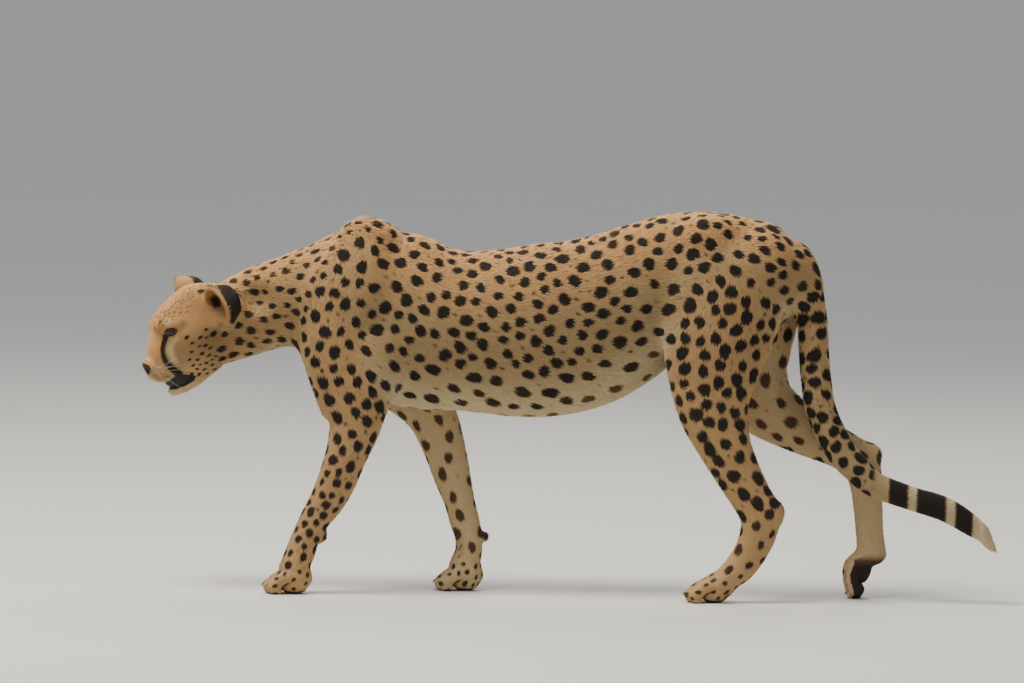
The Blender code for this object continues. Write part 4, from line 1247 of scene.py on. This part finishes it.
def lock_corners(hair, length, width, rise, droop):
    """Corners and normals of locks, closed blades of two sections that bend down towards their tips."""
    way, side, normal = hair.way, hair.side, hair.normal
    root = hair.place - 0.0006 * normal
    middle = root + 0.50 * length * way + 0.62 * rise * normal + 0.25 * droop * DOWN
    corners = [
        root - width / 2 * side,
        root + 0.25 * width * normal,
        root + width / 2 * side,
        middle - 0.38 * width * side,
        middle + 0.20 * width * normal,
        middle + 0.38 * width * side,
        root + length * way + rise * normal + droop * DOWN,
    ]
    left, right = normal - 0.6 * side, normal + 0.6 * side
    return corners, [left, normal, right, left, normal, right, normal + 0.3 * way]


# What makes a tuft's and a lock's corners, the corners of each face, where they lie on their small patch of
# the bake map, in halves of its width, and how far each is from root to tip.
PATCH_HALF = 0.0015
TUFT = (
    tuft_corners,
    np.array([(0, 2, 1), (0, 3, 2), (2, 3, 1), (1, 3, 0)]),
    np.array([(-1, -1), (1, -1), (0, -0.2), (0, 1)]),
    (0, 0, 0.5, 1),
)
LOCK = (
    lock_corners,
    np.array([(0, 1, 2), (0, 4, 1), (0, 3, 4), (1, 5, 2), (1, 4, 5),
              (2, 3, 0), (2, 5, 3), (3, 6, 4), (4, 6, 5), (5, 6, 3)]),
    np.array([(-1, -1), (0, -1), (1, -1), (-0.7, 0), (0, 0), (0.7, 0), (0, 1)]),
    (0, 0, 0, 0.5, 0.5, 0.5, 1),
)


def make_hair(name, hair, kind, *sizes):
    """One piece of coat, of tufts or locks of these sizes, with its markings, bake map and material."""
    corners_of, faces, patch, reach = kind
    corners, shades = corners_of(hair, *(values[:, None] for values in sizes))
    corners, shades = np.stack(corners, 1), np.stack(shades, 1)
    corners[:, :, 2] = np.maximum(corners[:, :, 2], LEAST_HEIGHT)
    count, each = corners.shape[:2]
    every = (np.arange(count)[:, None, None] * each + faces).reshape(-1, 3)
    piece = add_strands(name, corners.reshape(-1, 3), every, unit(shades.reshape(-1, 3)))
    put_colours(piece, *(np.repeat(values, each) for values in (*hair.marks, hair.tone)))
    put_number(piece, "reach", np.tile(reach, count))
    put_number(piece, "bare", np.zeros(count * each))
    places = np.clip(hair.bake_places(), 0.002, 0.998)[:, None] + PATCH_HALF * patch
    layer = piece.data.uv_layers.new(name=BAKE_MAP)
    layer.data.foreach_set("uv", places[:, faces.ravel()].astype(np.float32).ravel())
    dress(piece, bpy.data.materials["Coat"], "coat")


class Term:
    """A shader socket that adds Math nodes when it is used in sums."""

    def __init__(self, graph, socket):
        """Takes the graph that holds the socket's node."""
        self.graph, self.socket = graph, socket

    def math(self, operation, other=None, reflected=False):
        """The result of one Math node."""
        values = [self] if other is None else [self, other]
        if reflected:
            values.reverse()
        return self.graph.add("Math", {"operation": operation}, dict(enumerate(values)))

    __add__ = partialmethod(math, "ADD")
    __radd__ = partialmethod(math, "ADD", reflected=True)
    __sub__ = partialmethod(math, "SUBTRACT")
    __rsub__ = partialmethod(math, "SUBTRACT", reflected=True)
    __mul__ = partialmethod(math, "MULTIPLY")
    __rmul__ = partialmethod(math, "MULTIPLY", reflected=True)

    def clamped(self):
        """This value kept between nought and one."""
        return self.graph.add("Clamp", {}, {0: self})

    def output(self, number):
        """Another output of the same node."""
        return Term(self.graph, self.socket.node.outputs[number])


class Graph:
    """A new material's nodes."""

    def __init__(self, name):
        """Makes the material."""
        self.material = bpy.data.materials.new(name)
        self.material.use_nodes = True
        self.tree = self.material.node_tree
        self.shader = self.tree.nodes["Principled BSDF"]

    def put(self, socket, value):
        """Links a term to a socket, or sets the socket to a number, a vector or a colour."""
        if isinstance(value, Term):
            self.tree.links.new(value.socket, socket)
        elif socket.type == "RGBA":
            socket.default_value = (*value, 1.0)
        else:
            socket.default_value = value

    def add(self, kind, settings=None, sockets=None, output=0):
        """One node of a kind, its settings made first and then its sockets, as one of its outputs."""
        node = self.tree.nodes.new("ShaderNode" + kind)
        for name, value in (settings or {}).items():
            if name == "stops":
                self.stops(node.color_ramp, value)
            else:
                setattr(node, name, value)
        for name, value in (sockets or {}).items():
            self.put(node.inputs[name], value)
        return Term(self, node.outputs[output])

    def stops(self, colours, stops):
        """Gives a colour ramp its stops, each a place and a colour."""
        while len(colours.elements) < len(stops):
            colours.elements.new(1.0)
        for element, (place, colour) in zip(colours.elements, stops):
            element.position = place
            element.color = (*colour, 1.0)

    def place(self, kind="Object"):
        """Each point's own place, as one output of the texture coordinates."""
        return self.add("TexCoord", output=kind)

    def mark(self, name, output="Fac"):
        """The values kept on the mesh's points under a name."""
        return self.add("Attribute", {"attribute_name": name}, output=output)

    def mix(self, share, first, second, blend="MIX"):
        """One colour mixed into another by a share."""
        settings = {"data_type": "RGBA", "blend_type": blend}
        return self.add("Mix", settings, {"Factor": share, 6: first, 7: second}, 2)

    def noise(self, place, scale, detail=2.0):
        """A noise of one scale at a place."""
        return self.add("TexNoise", {}, {"Vector": place, "Scale": scale, "Detail": detail})

    def bump(self, height, strength, distance):
        """A normal that a height bends."""
        return self.add("Bump", {}, {"Strength": strength, "Distance": distance, "Height": height})

    def finish(self, **sockets):
        """Sets the shader's own sockets and gives the material."""
        for name, value in sockets.items():
            self.put(self.shader.inputs[name.replace("_", " ")], value)
        return self.material


def coat_material(colours):
    """The coat and skin: gold, tan and cream by the markings kept on each point, through brown to black."""
    graph = Graph("Coat")
    place = graph.place()
    marks = graph.mark("coat", "Color")
    dark = graph.add("SeparateColor", {}, {0: marks})
    pale, warm, tone = dark.output(1), dark.output(2), marks.output(3)
    reach, bare = graph.mark("reach"), graph.mark("bare")
    patchy = graph.noise(place, 22.0, 3.0)
    fine = graph.noise(place, 420.0)
    hairs = graph.noise(place, 900.0, 1.0)
    ground = graph.mix((warm + 0.35 * (patchy - 0.5)).clamped(), colours.tan, colours.gold)
    ground = graph.mix((pale + 0.25 * (patchy - 0.5)).clamped(), ground, colours.cream)
    light = 0.80 + 0.24 * tone + 0.16 * reach + 0.12 * (fine - 0.5)
    ground = graph.mix(1.0, ground, light, "MULTIPLY")
    # Darkening towards brown and black: spots, flecks and real marks, and also painted shade in the ears'
    # hollows, the open mouth and the head's sides.
    browned = graph.mix((2.2 * dark).clamped(), ground, colours.brown)
    black = graph.mix(0.35 * tone, colours.black, colours.black_tip)
    colour = graph.mix((2.0 * dark - 0.75).clamped(), browned, black)
    leather = graph.add("TexVoronoi", {"feature": "DISTANCE_TO_EDGE"}, {"Vector": place, "Scale": 900.0})
    height = graph.add("Mix", {}, {"Factor": bare, 2: hairs, 3: leather.math("MINIMUM", 0.35)})
    return graph.finish(
        Base_Color=colour,
        Roughness=0.62 + 0.14 * fine - 0.26 * bare,
        Normal=graph.bump(height, 0.30, 0.0006),
        Sheen_Weight=0.04,
        Sheen_Roughness=0.45,
        Specular_IOR_Level=0.20,
    )


def eye_material(colours):
    """The eyeball: a round pupil in an amber iris with a dark edge, from the pole of its own map outwards."""
    graph = Graph("Eye")
    place = graph.place("UV")
    from_pole = 1 - graph.add("SeparateXYZ", {}, {0: place}).output(1)
    fibres = graph.noise(graph.add("Mapping", {}, {"Vector": place, "Scale": (1.0, 0.06, 1.0)}), 160.0, 3.0)
    pupil, inner, iris, white = colours.pupil, colours.inner, colours.iris, colours.white
    stops = (
        (0.0, pupil), (0.058, pupil), (0.066, inner), (0.105, iris),
        (0.135, inner), (0.150, pupil), (0.185, pupil), (0.230, white),
    )
    shade = graph.add("ValToRGB", {"stops": stops}, {0: from_pole + 0.006 * (fibres - 0.5)})
    return graph.finish(
        Base_Color=graph.mix(0.30 * fibres, shade, pupil),
        Roughness=0.10 + 0.03 * fibres,
        Coat_Weight=0.16,
        Coat_Roughness=0.02,
        IOR=1.34,
    )


def claw_material(colours):
    """The claws' horn: dark at the root, paler towards the tip, with fine lengthwise streaks."""
    graph = Graph("Claw")
    place = graph.place()
    streaks = graph.noise(graph.add("Mapping", {}, {"Vector": place, "Scale": (0.25, 1.0, 1.0)}), 1600.0, 3.0)
    share = (0.5 * streaks + 0.6 * graph.noise(place, 240.0) - 0.1).clamped()
    return graph.finish(
        Base_Color=graph.mix(share, colours.horn_dark, colours.horn),
        Roughness=0.34 + 0.18 * streaks,
        Normal=graph.bump(streaks, 0.25, 0.0002),
    )


def whisker_material(colours):
    """The whiskers: pale, shading a little along their length."""
    graph = Graph("Whisker")
    reach = graph.mark("reach")
    colour = graph.mix(reach, colours.whisker_root, colours.whisker)
    return graph.finish(Base_Color=colour, Roughness=0.40 - 0.10 * reach)


def floor_material(colours):
    """The floor: plain, pale and matt, with a very faint mottle."""
    graph = Graph("Floor")
    cloud = graph.noise(graph.place(), 1.6, 4.0)
    colour = graph.mix(0.5 * cloud, colours.floor, colours.floor_shade)
    return graph.finish(Base_Color=colour, Roughness=0.82 + 0.08 * cloud)


def tone_property(name, description, default):
    """A colour that a user may change."""
    return FloatVectorProperty(
        name=name, description=description, default=default, subtype="COLOR", min=0, max=1
    )


class CheetahColours(PropertyGroup):
    """The animal's colours."""

    gold: tone_property("Gold", "Back, crown and muzzle", (0.590, 0.300, 0.105))
    tan: tone_property("Tan", "Flanks and legs", (0.415, 0.275, 0.122))
    cream: tone_property("Cream", "Belly, chin and inner legs", (0.620, 0.500, 0.290))
    # Brown also darkens the sides of the head: partly a browner coat, partly painted shade.
    brown: tone_property("Brown", "Edges of the spots and faint flecks", (0.130, 0.070, 0.032))
    # Black also fills the open mouth, as painted shade.
    black: tone_property("Black", "Spots, tear lines, lips and nose", (0.017, 0.013, 0.010))
    black_tip: tone_property("Black tips", "Palest hairs of the spots", (0.050, 0.038, 0.028))
    pupil: tone_property("Pupil", "Pupil and the iris's edge", (0.004, 0.003, 0.002))
    inner: tone_property("Inner iris", "Round the pupil and near the iris's edge", (0.016, 0.007, 0.003))
    iris: tone_property("Iris", "Brightest part of the iris", (0.055, 0.024, 0.008))
    white: tone_property("White of the eye", "Hidden part of the eyeball", (0.200, 0.150, 0.110))
    horn: tone_property("Horn", "Claws' paler horn", (0.230, 0.170, 0.120))
    horn_dark: tone_property("Dark horn", "Claws' darker horn", (0.045, 0.030, 0.022))
    whisker: tone_property("Whisker", "Whiskers' tips", (0.850, 0.820, 0.740))
    whisker_root: tone_property("Whisker root", "Whiskers' roots", (0.500, 0.420, 0.310))
    floor: tone_property("Floor", "Floor", (0.640, 0.625, 0.595))
    floor_shade: tone_property("Floor's mottle", "Floor's faint mottle", (0.590, 0.575, 0.545))


class CheetahCoat(PropertyGroup):
    """The coat's measures."""

    cover: FloatProperty(
        name="Cover", description="How many layers of tufts lie on the skin", default=2.7, min=0.5, max=5
    )
    longest: FloatProperty(
        name="Longest tuft", description="Length of the body's tufts", default=0.0098, unit="LENGTH"
    )
    shortest: FloatProperty(
        name="Shortest tuft", description="Length of the face's tufts", default=0.0034, unit="LENGTH"
    )
    tufts: IntProperty(
        name="Tufts", description="Most tufts in all the coat's pieces", default=345000, min=1000
    )
    seed: IntProperty(name="Seed", description="Which scatter of tufts is made", default=SEED)
    whiskers: IntProperty(
        name="Whiskers", description="Whiskers on each side", default=16, min=0, max=40
    )


class CheetahStage(PropertyGroup):
    """The camera and the light."""

    rise: FloatProperty(
        name="Rise", description="How far above level the camera is", default=math.radians(4),
        subtype="ANGLE",
    )
    roll: FloatProperty(
        name="Roll", description="How far the camera is rolled", default=math.radians(1.2),
        subtype="ANGLE",
    )
    distance: FloatProperty(
        name="Distance", description="From the camera to the animal", default=12.0, unit="LENGTH"
    )
    view: FloatProperty(
        name="View", description="Width of the view at the animal", default=1.8286, unit="LENGTH"
    )
    floor: FloatProperty(name="Floor", description="Width of the floor", default=400.0, unit="LENGTH")
    height: FloatProperty(
        name="Height", description="Height of the view's middle", default=0.4538, unit="LENGTH"
    )
    key: FloatProperty(
        name="Key light", description="Power of the main soft light", default=290.0, min=0
    )
    rim: FloatProperty(
        name="Rim light", description="Power of the soft light from behind", default=90.0, min=0
    )
    sky: FloatProperty(
        name="Sky", description="Strength of the even light from all round", default=0.56, min=0
    )


# The spots, which the skin's step makes and the coat's steps use.
MADE = {}


def flesh_nodes():
    """The solid model's nodes that are neither eyes nor claws."""
    return [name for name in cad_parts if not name.startswith(("eye", "claw"))]


class CHEETAH_OT_skin(Operator):
    """Makes the one skin that stands for every node of flesh, with the coat's markings kept on its points"""

    bl_idname = "cheetah.skin"
    bl_label = "Skin"

    def execute(self, context):
        """Makes the skin's mesh, strews the spots over it and marks it."""
        piece = add_piece("skin", *skin_faces())
        refine_paws(piece.data)
        points, normals, triangles = arrays_of(piece)
        MADE["spots"] = Spots(points, normals, triangles)
        marks = markings(points, normals, MADE["spots"], SKIN_SOFTNESS)
        put_colours(piece, *marks, np.full(len(points), SKIN_TONE))
        put_number(piece, "reach", np.full(len(points), SKIN_REACH))
        put_number(piece, "bare", bare_places(points, normals))
        dress(piece, coat_material(context.scene.cheetah_colours), "coat", *flesh_nodes())
        return {"FINISHED"}


def hair_width(length, share, least, most):
    """The width of each tuft or lock of a length."""
    return np.clip(share * length, least, most)


def tuft_sizes(points, coat):
    """The length, width and rise of the tufts rooted at these points."""
    depth = measured(coat_depth, points)
    length = coat.shortest + (coat.longest - coat.shortest) * np.clip(depth / BODY_COAT, 0, 1)
    return length, hair_width(length, *TUFT_WIDTH), np.maximum(0.95 * depth, 0.09 * length)


class CHEETAH_OT_coat(Operator):
    """Makes the coat's tufts, which lie along the body and are smallest on the face and feet"""

    bl_idname = "cheetah.coat"
    bl_label = "Coat"

    def execute(self, context):
        """Covers each piece's share of the skin, with no more tufts than a piece may have."""
        coat = context.scene.cheetah_coat
        random = np.random.default_rng(coat.seed)
        points, normals, triangles = arrays_of(bpy.data.objects["skin"])
        middle, facing = points[triangles].mean(1), unit(normals[triangles].mean(1))
        chart, _ = laid(middle, facing)
        names = named_by(COAT_RULES, middle, facing, chart)
        length, width, _ = tuft_sizes(middle, coat)
        density = coat.cover / (length * width / 2)
        tufts = areas(points[triangles]) * density
        wanted = {name: tufts[names == name].sum() for name in sorted(set(names))}
        thinner = min(1.0, coat.tufts / sum(min(count, TUFT_LIMIT) for count in wanted.values()))
        for name, count in wanted.items():
            where = names == name
            count = int(min(count, TUFT_LIMIT) * thinner)
            hair = Hair(points, normals, triangles[where], density[where], count, random)
            length, width, rise = tuft_sizes(hair.place, coat)
            length = length * random.uniform(0.75, 1.15, len(length))
            hair.colour(MADE["spots"], length)
            width = width * random.uniform(0.8, 1.2, len(length))
            rise = rise * random.uniform(0.65, 1.1, len(length))
            make_hair(name, hair, TUFT, length, width, rise)
        return {"FINISHED"}


def long_hair(points, normals, chart):
    """How far each point belongs to each place that has longer hair, and the table of those places' facts."""
    x, _, z = points.T
    forward, up, out = folded(in_head(points)).T
    facing = normals @ HEAD_AXES.T
    nape = (x > -0.50) & (x < -0.20) & (z > 0.50)
    belly = on(chart, "trunk") & (x > -0.33) & (x < 0.42)
    ears = [on(chart, "ear_" + side) * ramp(facing @ unit(ear(side)[2]), 0.2, 0.6) for side in EARS]
    cheeks = ~on(chart, "ear_left", "ear_right") & (forward < -0.055) & (up < -0.03) & (x < -0.46)
    shares = {
        "nape": nape * ramp(normals[:, 2], 0.45, 0.85),
        "belly": belly * ramp(-normals[:, 2], 0.25, 0.70) * (1 - ramp(z - trunk_edges(x)[1], 0.03, 0.07)),
        "ears": np.max(ears, axis=0),
        "cheeks": cheeks * ramp(out, 0.020, 0.040),
        "tail_tip": on(chart, "tail") * ramp(x, TAIL_TIP + 0.001, TAIL_TIP + 0.008),
    }
    return np.array(list(shares.values())), np.array([LONG_HAIR[name] for name in shares])


class CHEETAH_OT_locks(Operator):
    """Makes the longer hair: nape's ruff, belly's fringe, ears' insides, cheeks and the tail's tip"""

    bl_idname = "cheetah.locks"
    bl_label = "Longer hair"

    def execute(self, context):
        """Sows locks where longer hair grows, each of the size of the places that it belongs to."""
        random = np.random.default_rng(context.scene.cheetah_coat.seed + 1)
        points, normals, triangles = arrays_of(bpy.data.objects["skin"])
        middle, facing = points[triangles].mean(1), unit(normals[triangles].mean(1))
        shares, facts = long_hair(middle, facing, laid(middle, facing)[0])
        hair = Hair(points, normals, triangles, facts[:, 0] @ shares + 1e-9, LOCK_COUNT, random)
        shares, facts = long_hair(hair.place, hair.normal, hair.chart)
        shares += 1e-9
        length, rise, droop = facts[:, 1:].T @ (shares / shares.sum(0))
        hair.colour(MADE["spots"], length)
        vary = random.uniform(0.70, 1.15, len(length))
        width = hair_width(length, *LOCK_WIDTH)
        rise = rise * random.uniform(0.5, 1.2, len(length))
        make_hair("coat_long", hair, LOCK, length * vary, width, rise, droop * vary)
        return {"FINISHED"}


# A whisker's rings, its radius at the root, and how many are in a row. Then, in the head's forward, up and
# out: the root of the first on the lip, the steps to the next place and the next row, the same over the eye,
# the way that the first points, what each place and each row adds to it, and the way that they bend.
WHISKER_RINGS = 6
WHISKER_RADIUS = 0.00022
WHISKERS_IN_ROW = 4
LIP_ROOT = np.array([0.047, -0.050, 0.0150])
ROOT_STEP = np.array([-0.0050, 0, 0.0030])
ROW_STEP = np.array([0, -0.0050, 0])
BROW_ROOT = np.array([-0.002, 0.0185, 0.026])
BROW_STEP = np.array([0.006, 0, 0])
WHISKER_WAY = np.array([0.10, 0.30, 1.0])
WAY_STEP = np.array([-0.22, 0, 0])
WAY_ROW_STEP = np.array([0, -0.24, 0])
WHISKER_BEND = (-0.6, -0.55, 0.1)
WHISKER_LENGTHS = (0.030, 0.056)


def settled(root):
    """A place near the head's side moved onto its skin."""
    place = (BROW + root @ HEAD_AXES)[None]
    return in_head(drawn_to_surface(skin_measure, place, 0.012, 6))[0]


class CHEETAH_OT_whiskers(Operator):
    """Makes the whiskers, thin tapered hairs that spring from four rows on each lip, and two over each eye"""

    bl_idname = "cheetah.whiskers"
    bl_label = "Whiskers"

    def execute(self, context):
        """Grows the whiskers of each side from their roots in the skin."""
        random = np.random.default_rng(context.scene.cheetah_coat.seed + 2)
        count = context.scene.cheetah_coat.whiskers
        points, faces, reach = [], [], []
        for mirror in (1, -1):
            for number in range(count):
                row, place = divmod(number, WHISKERS_IN_ROW)
                on_brow = number >= count - 2
                jog = np.array([random.normal(0, 0.0006), 0, 0])
                root = LIP_ROOT + place * ROOT_STEP + jog + row * ROW_STEP
                if on_brow:
                    root = BROW_ROOT + number % 2 * BROW_STEP
                way = WHISKER_WAY + place * WAY_STEP + row * WAY_ROW_STEP + random.normal(0, 0.08, 3)
                long = random.uniform(*WHISKER_LENGTHS) * (0.7 if on_brow else 1.0)
                bend = unit(WHISKER_BEND) * long * random.uniform(0.12, 0.30)
                root, way, bend = [value * (1, 1, mirror) for value in (root, unit(way), bend)]
                self.grow(settled(root), way * long, bend, points, faces, reach)
        piece = add_piece("whiskers", np.array(points), faces)
        put_number(piece, "reach", np.array(reach))
        dress(piece, whisker_material(context.scene.cheetah_colours), "coat")
        return {"FINISHED"}

    def grow(self, root, way, bend, points, faces, reach):
        """Adds one whisker: rings of three points, then a tip, closed at both ends."""
        first = len(points)
        last = first + 3 * (WHISKER_RINGS - 1)
        side = unit(np.cross(way, bend))
        up = unit(np.cross(side, way))
        for ring in range(WHISKER_RINGS):
            share = ring / WHISKER_RINGS
            middle = root + share * way + share**2 * bend
            for angle in (0.0, math.tau / 3, 2 * math.tau / 3):
                offset = WHISKER_RADIUS * (1 - share) * (math.cos(angle) * up + math.sin(angle) * side)
                points.append(BROW + (middle + offset) @ HEAD_AXES)
                reach.append(share)
        points.append(BROW + (root + way + bend) @ HEAD_AXES)
        reach.append(1.0)
        for start in range(first, last, 3):
            for a, b in ((0, 1), (1, 2), (2, 0)):
                faces.append((start + a, start + b, start + b + 3, start + a + 3))
        faces.extend((last + a, last + b, last + 3) for a, b in ((0, 1), (1, 2), (2, 0)))
        faces.append((first + 2, first + 1, first))


# The heights at which the cornea's rings rise, in radii of the eye, and how far each raises what is above it.
CORNEA_RINGS = (0.885, 0.93, 0.965, 0.99)
CORNEA_RISE = 0.014


class CHEETAH_OT_eyes(Operator):
    """Makes the eyeballs, each a sphere with a bulging cornea, turned the way that the eye looks"""

    bl_idname = "cheetah.eyes"
    bl_label = "Eyes"

    def execute(self, context):
        """Puts each eyeball where the solid model's eye is."""
        material = eye_material(context.scene.cheetah_colours)
        for side, mirror in (("left", 1), ("right", -1)):
            low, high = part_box("eye_" + side)
            gaze = Vector((GAZE * (1, 1, mirror)) @ HEAD_AXES).normalized()
            radius = (high.x - low.x) / 2
            bpy.ops.object.select_all(action="DESELECT")
            bpy.ops.mesh.primitive_uv_sphere_add(segments=48, ring_count=36, radius=radius)
            piece = bpy.context.object
            piece.name = "eyeball_" + side
            self.bulge(piece, radius)
            piece.rotation_euler = gaze.to_track_quat("Z", "Y").to_euler()
            piece.location = (low + high) / 2
            bpy.ops.object.transform_apply(location=True, rotation=True, scale=True)
            bpy.ops.object.shade_smooth()
            dress(piece, material, "eye", "eye_" + side)
        return {"FINISHED"}

    def bulge(self, piece, radius):
        """Raises the cornea a little, ring by ring, towards the pole."""
        bpy.ops.object.mode_set(mode="EDIT")
        for share in CORNEA_RINGS:
            bpy.ops.mesh.select_all(action="DESELECT")
            shape = bmesh.from_edit_mesh(piece.data)
            for vertex in shape.verts:
                vertex.select = vertex.co.z > share * radius
            shape.select_flush_mode()
            bmesh.update_edit_mesh(piece.data)
            bpy.ops.transform.translate(value=(0, 0, CORNEA_RISE * radius))
        bpy.ops.object.mode_set(mode="OBJECT")


class CHEETAH_OT_claws(Operator):
    """Gives the solid model's claws their horn"""

    bl_idname = "cheetah.claws"
    bl_label = "Claws"

    def execute(self, context):
        """Puts the horn on each claw as it stands in the solid model."""
        material = claw_material(context.scene.cheetah_colours)
        for name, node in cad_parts.items():
            if name.startswith("claw"):
                node.material_slots[0].material = material
        return {"FINISHED"}


# Each light's way from the view's middle, its size and its colour. Then the sky's colour and the camera's
# sensor, in millimetres.
LIGHTS = {
    "key": ((-1.6, -1.1, 3.8), 1.8, (1.0, 0.95, 0.87)),
    "rim": ((0.6, 2.6, 3.2), 2.6, (1.0, 0.93, 0.82)),
}
SKY_COLOUR = (0.93, 0.96, 1.0, 1.0)
SENSOR_WIDTH = 36.0


class CHEETAH_OT_stage(Operator):
    """Makes the floor, the soft lights and the camera"""

    bl_idname = "cheetah.stage"
    bl_label = "Stage"

    def execute(self, context):
        """Puts the floor, the sky, the lights and the camera round the animal."""
        stage = context.scene.cheetah_stage
        bpy.ops.object.select_all(action="DESELECT")
        bpy.ops.mesh.primitive_plane_add(size=stage.floor)
        floor = bpy.context.object
        floor.name = "floor"
        floor.data.materials.append(floor_material(context.scene.cheetah_colours))
        world = bpy.data.worlds.new("Sky")
        context.scene.world = world
        world.use_nodes = True
        sky = world.node_tree.nodes["Background"].inputs
        sky["Color"].default_value = SKY_COLOUR
        sky["Strength"].default_value = stage.sky
        middle = Vector((SHIFT[0], 0.0, stage.height))
        self.light("key", stage.key, middle)
        self.light("rim", stage.rim, middle)
        self.camera(context, stage, middle)
        return {"FINISHED"}

    def light(self, name, power, middle):
        """One square soft light that faces the animal."""
        offset, size, colour = LIGHTS[name]
        lamp = bpy.data.lights.new(name, "AREA")
        lamp.size, lamp.energy, lamp.color = size, power, colour
        holder = add_object(name, lamp)
        holder.location = middle + Vector(offset)
        holder.rotation_euler = (-Vector(offset)).to_track_quat("-Z", "Y").to_euler()

    def camera(self, context, stage, middle):
        """A long lens square to the animal's left side, a little above level."""
        lens = bpy.data.cameras.new("camera")
        lens.sensor_width = SENSOR_WIDTH
        lens.lens = lens.sensor_width * stage.distance / stage.view
        lens.clip_end = stage.floor
        holder = add_object("camera", lens)
        back = Vector((0, -math.cos(stage.rise), math.sin(stage.rise)))
        holder.location = middle + stage.distance * back
        turned = (-back).to_track_quat("-Z", "Y") @ Matrix.Rotation(stage.roll, 4, "Z").to_quaternion()
        holder.rotation_euler = turned.to_euler()
        context.scene.camera = holder


class CHEETAH_PT_panel(Panel):
    """Lists the steps that build the cheetah"""

    bl_label = "Cheetah"
    bl_idname = "CHEETAH_PT_panel"
    bl_space_type = "VIEW_3D"
    bl_region_type = "UI"
    bl_category = "Cheetah"

    def draw(self, context):
        """Draws a button for each step, then each group's properties."""
        for step in STEPS:
            self.layout.operator(step.bl_idname)
        for group in GROUPS:
            box = self.layout.box()
            for name in GROUPS[group].__annotations__:
                box.prop(getattr(context.scene, group), name)


GROUPS = {"cheetah_coat": CheetahCoat, "cheetah_stage": CheetahStage, "cheetah_colours": CheetahColours}
STEPS = (
    CHEETAH_OT_skin,
    CHEETAH_OT_coat,
    CHEETAH_OT_locks,
    CHEETAH_OT_whiskers,
    CHEETAH_OT_eyes,
    CHEETAH_OT_claws,
    CHEETAH_OT_stage,
)
CLASSES = (*GROUPS.values(), *STEPS, CHEETAH_PT_panel)


def register():
    """Adds the classes and the scene's groups of properties."""
    for kind in CLASSES:
        bpy.utils.register_class(kind)
    for name, group in GROUPS.items():
        setattr(bpy.types.Scene, name, PointerProperty(type=group))


def unregister():
    """Takes the classes and the groups away again."""
    for name in GROUPS:
        delattr(bpy.types.Scene, name)
    for kind in reversed(CLASSES):
        bpy.utils.unregister_class(kind)


def main():
    """Runs every step in order."""
    register()
    bpy.ops.cheetah.skin()
    bpy.ops.cheetah.coat()
    bpy.ops.cheetah.locks()
    bpy.ops.cheetah.whiskers()
    bpy.ops.cheetah.eyes()
    bpy.ops.cheetah.claws()
    bpy.ops.cheetah.stage()


if __name__ == "__main__":
    main()
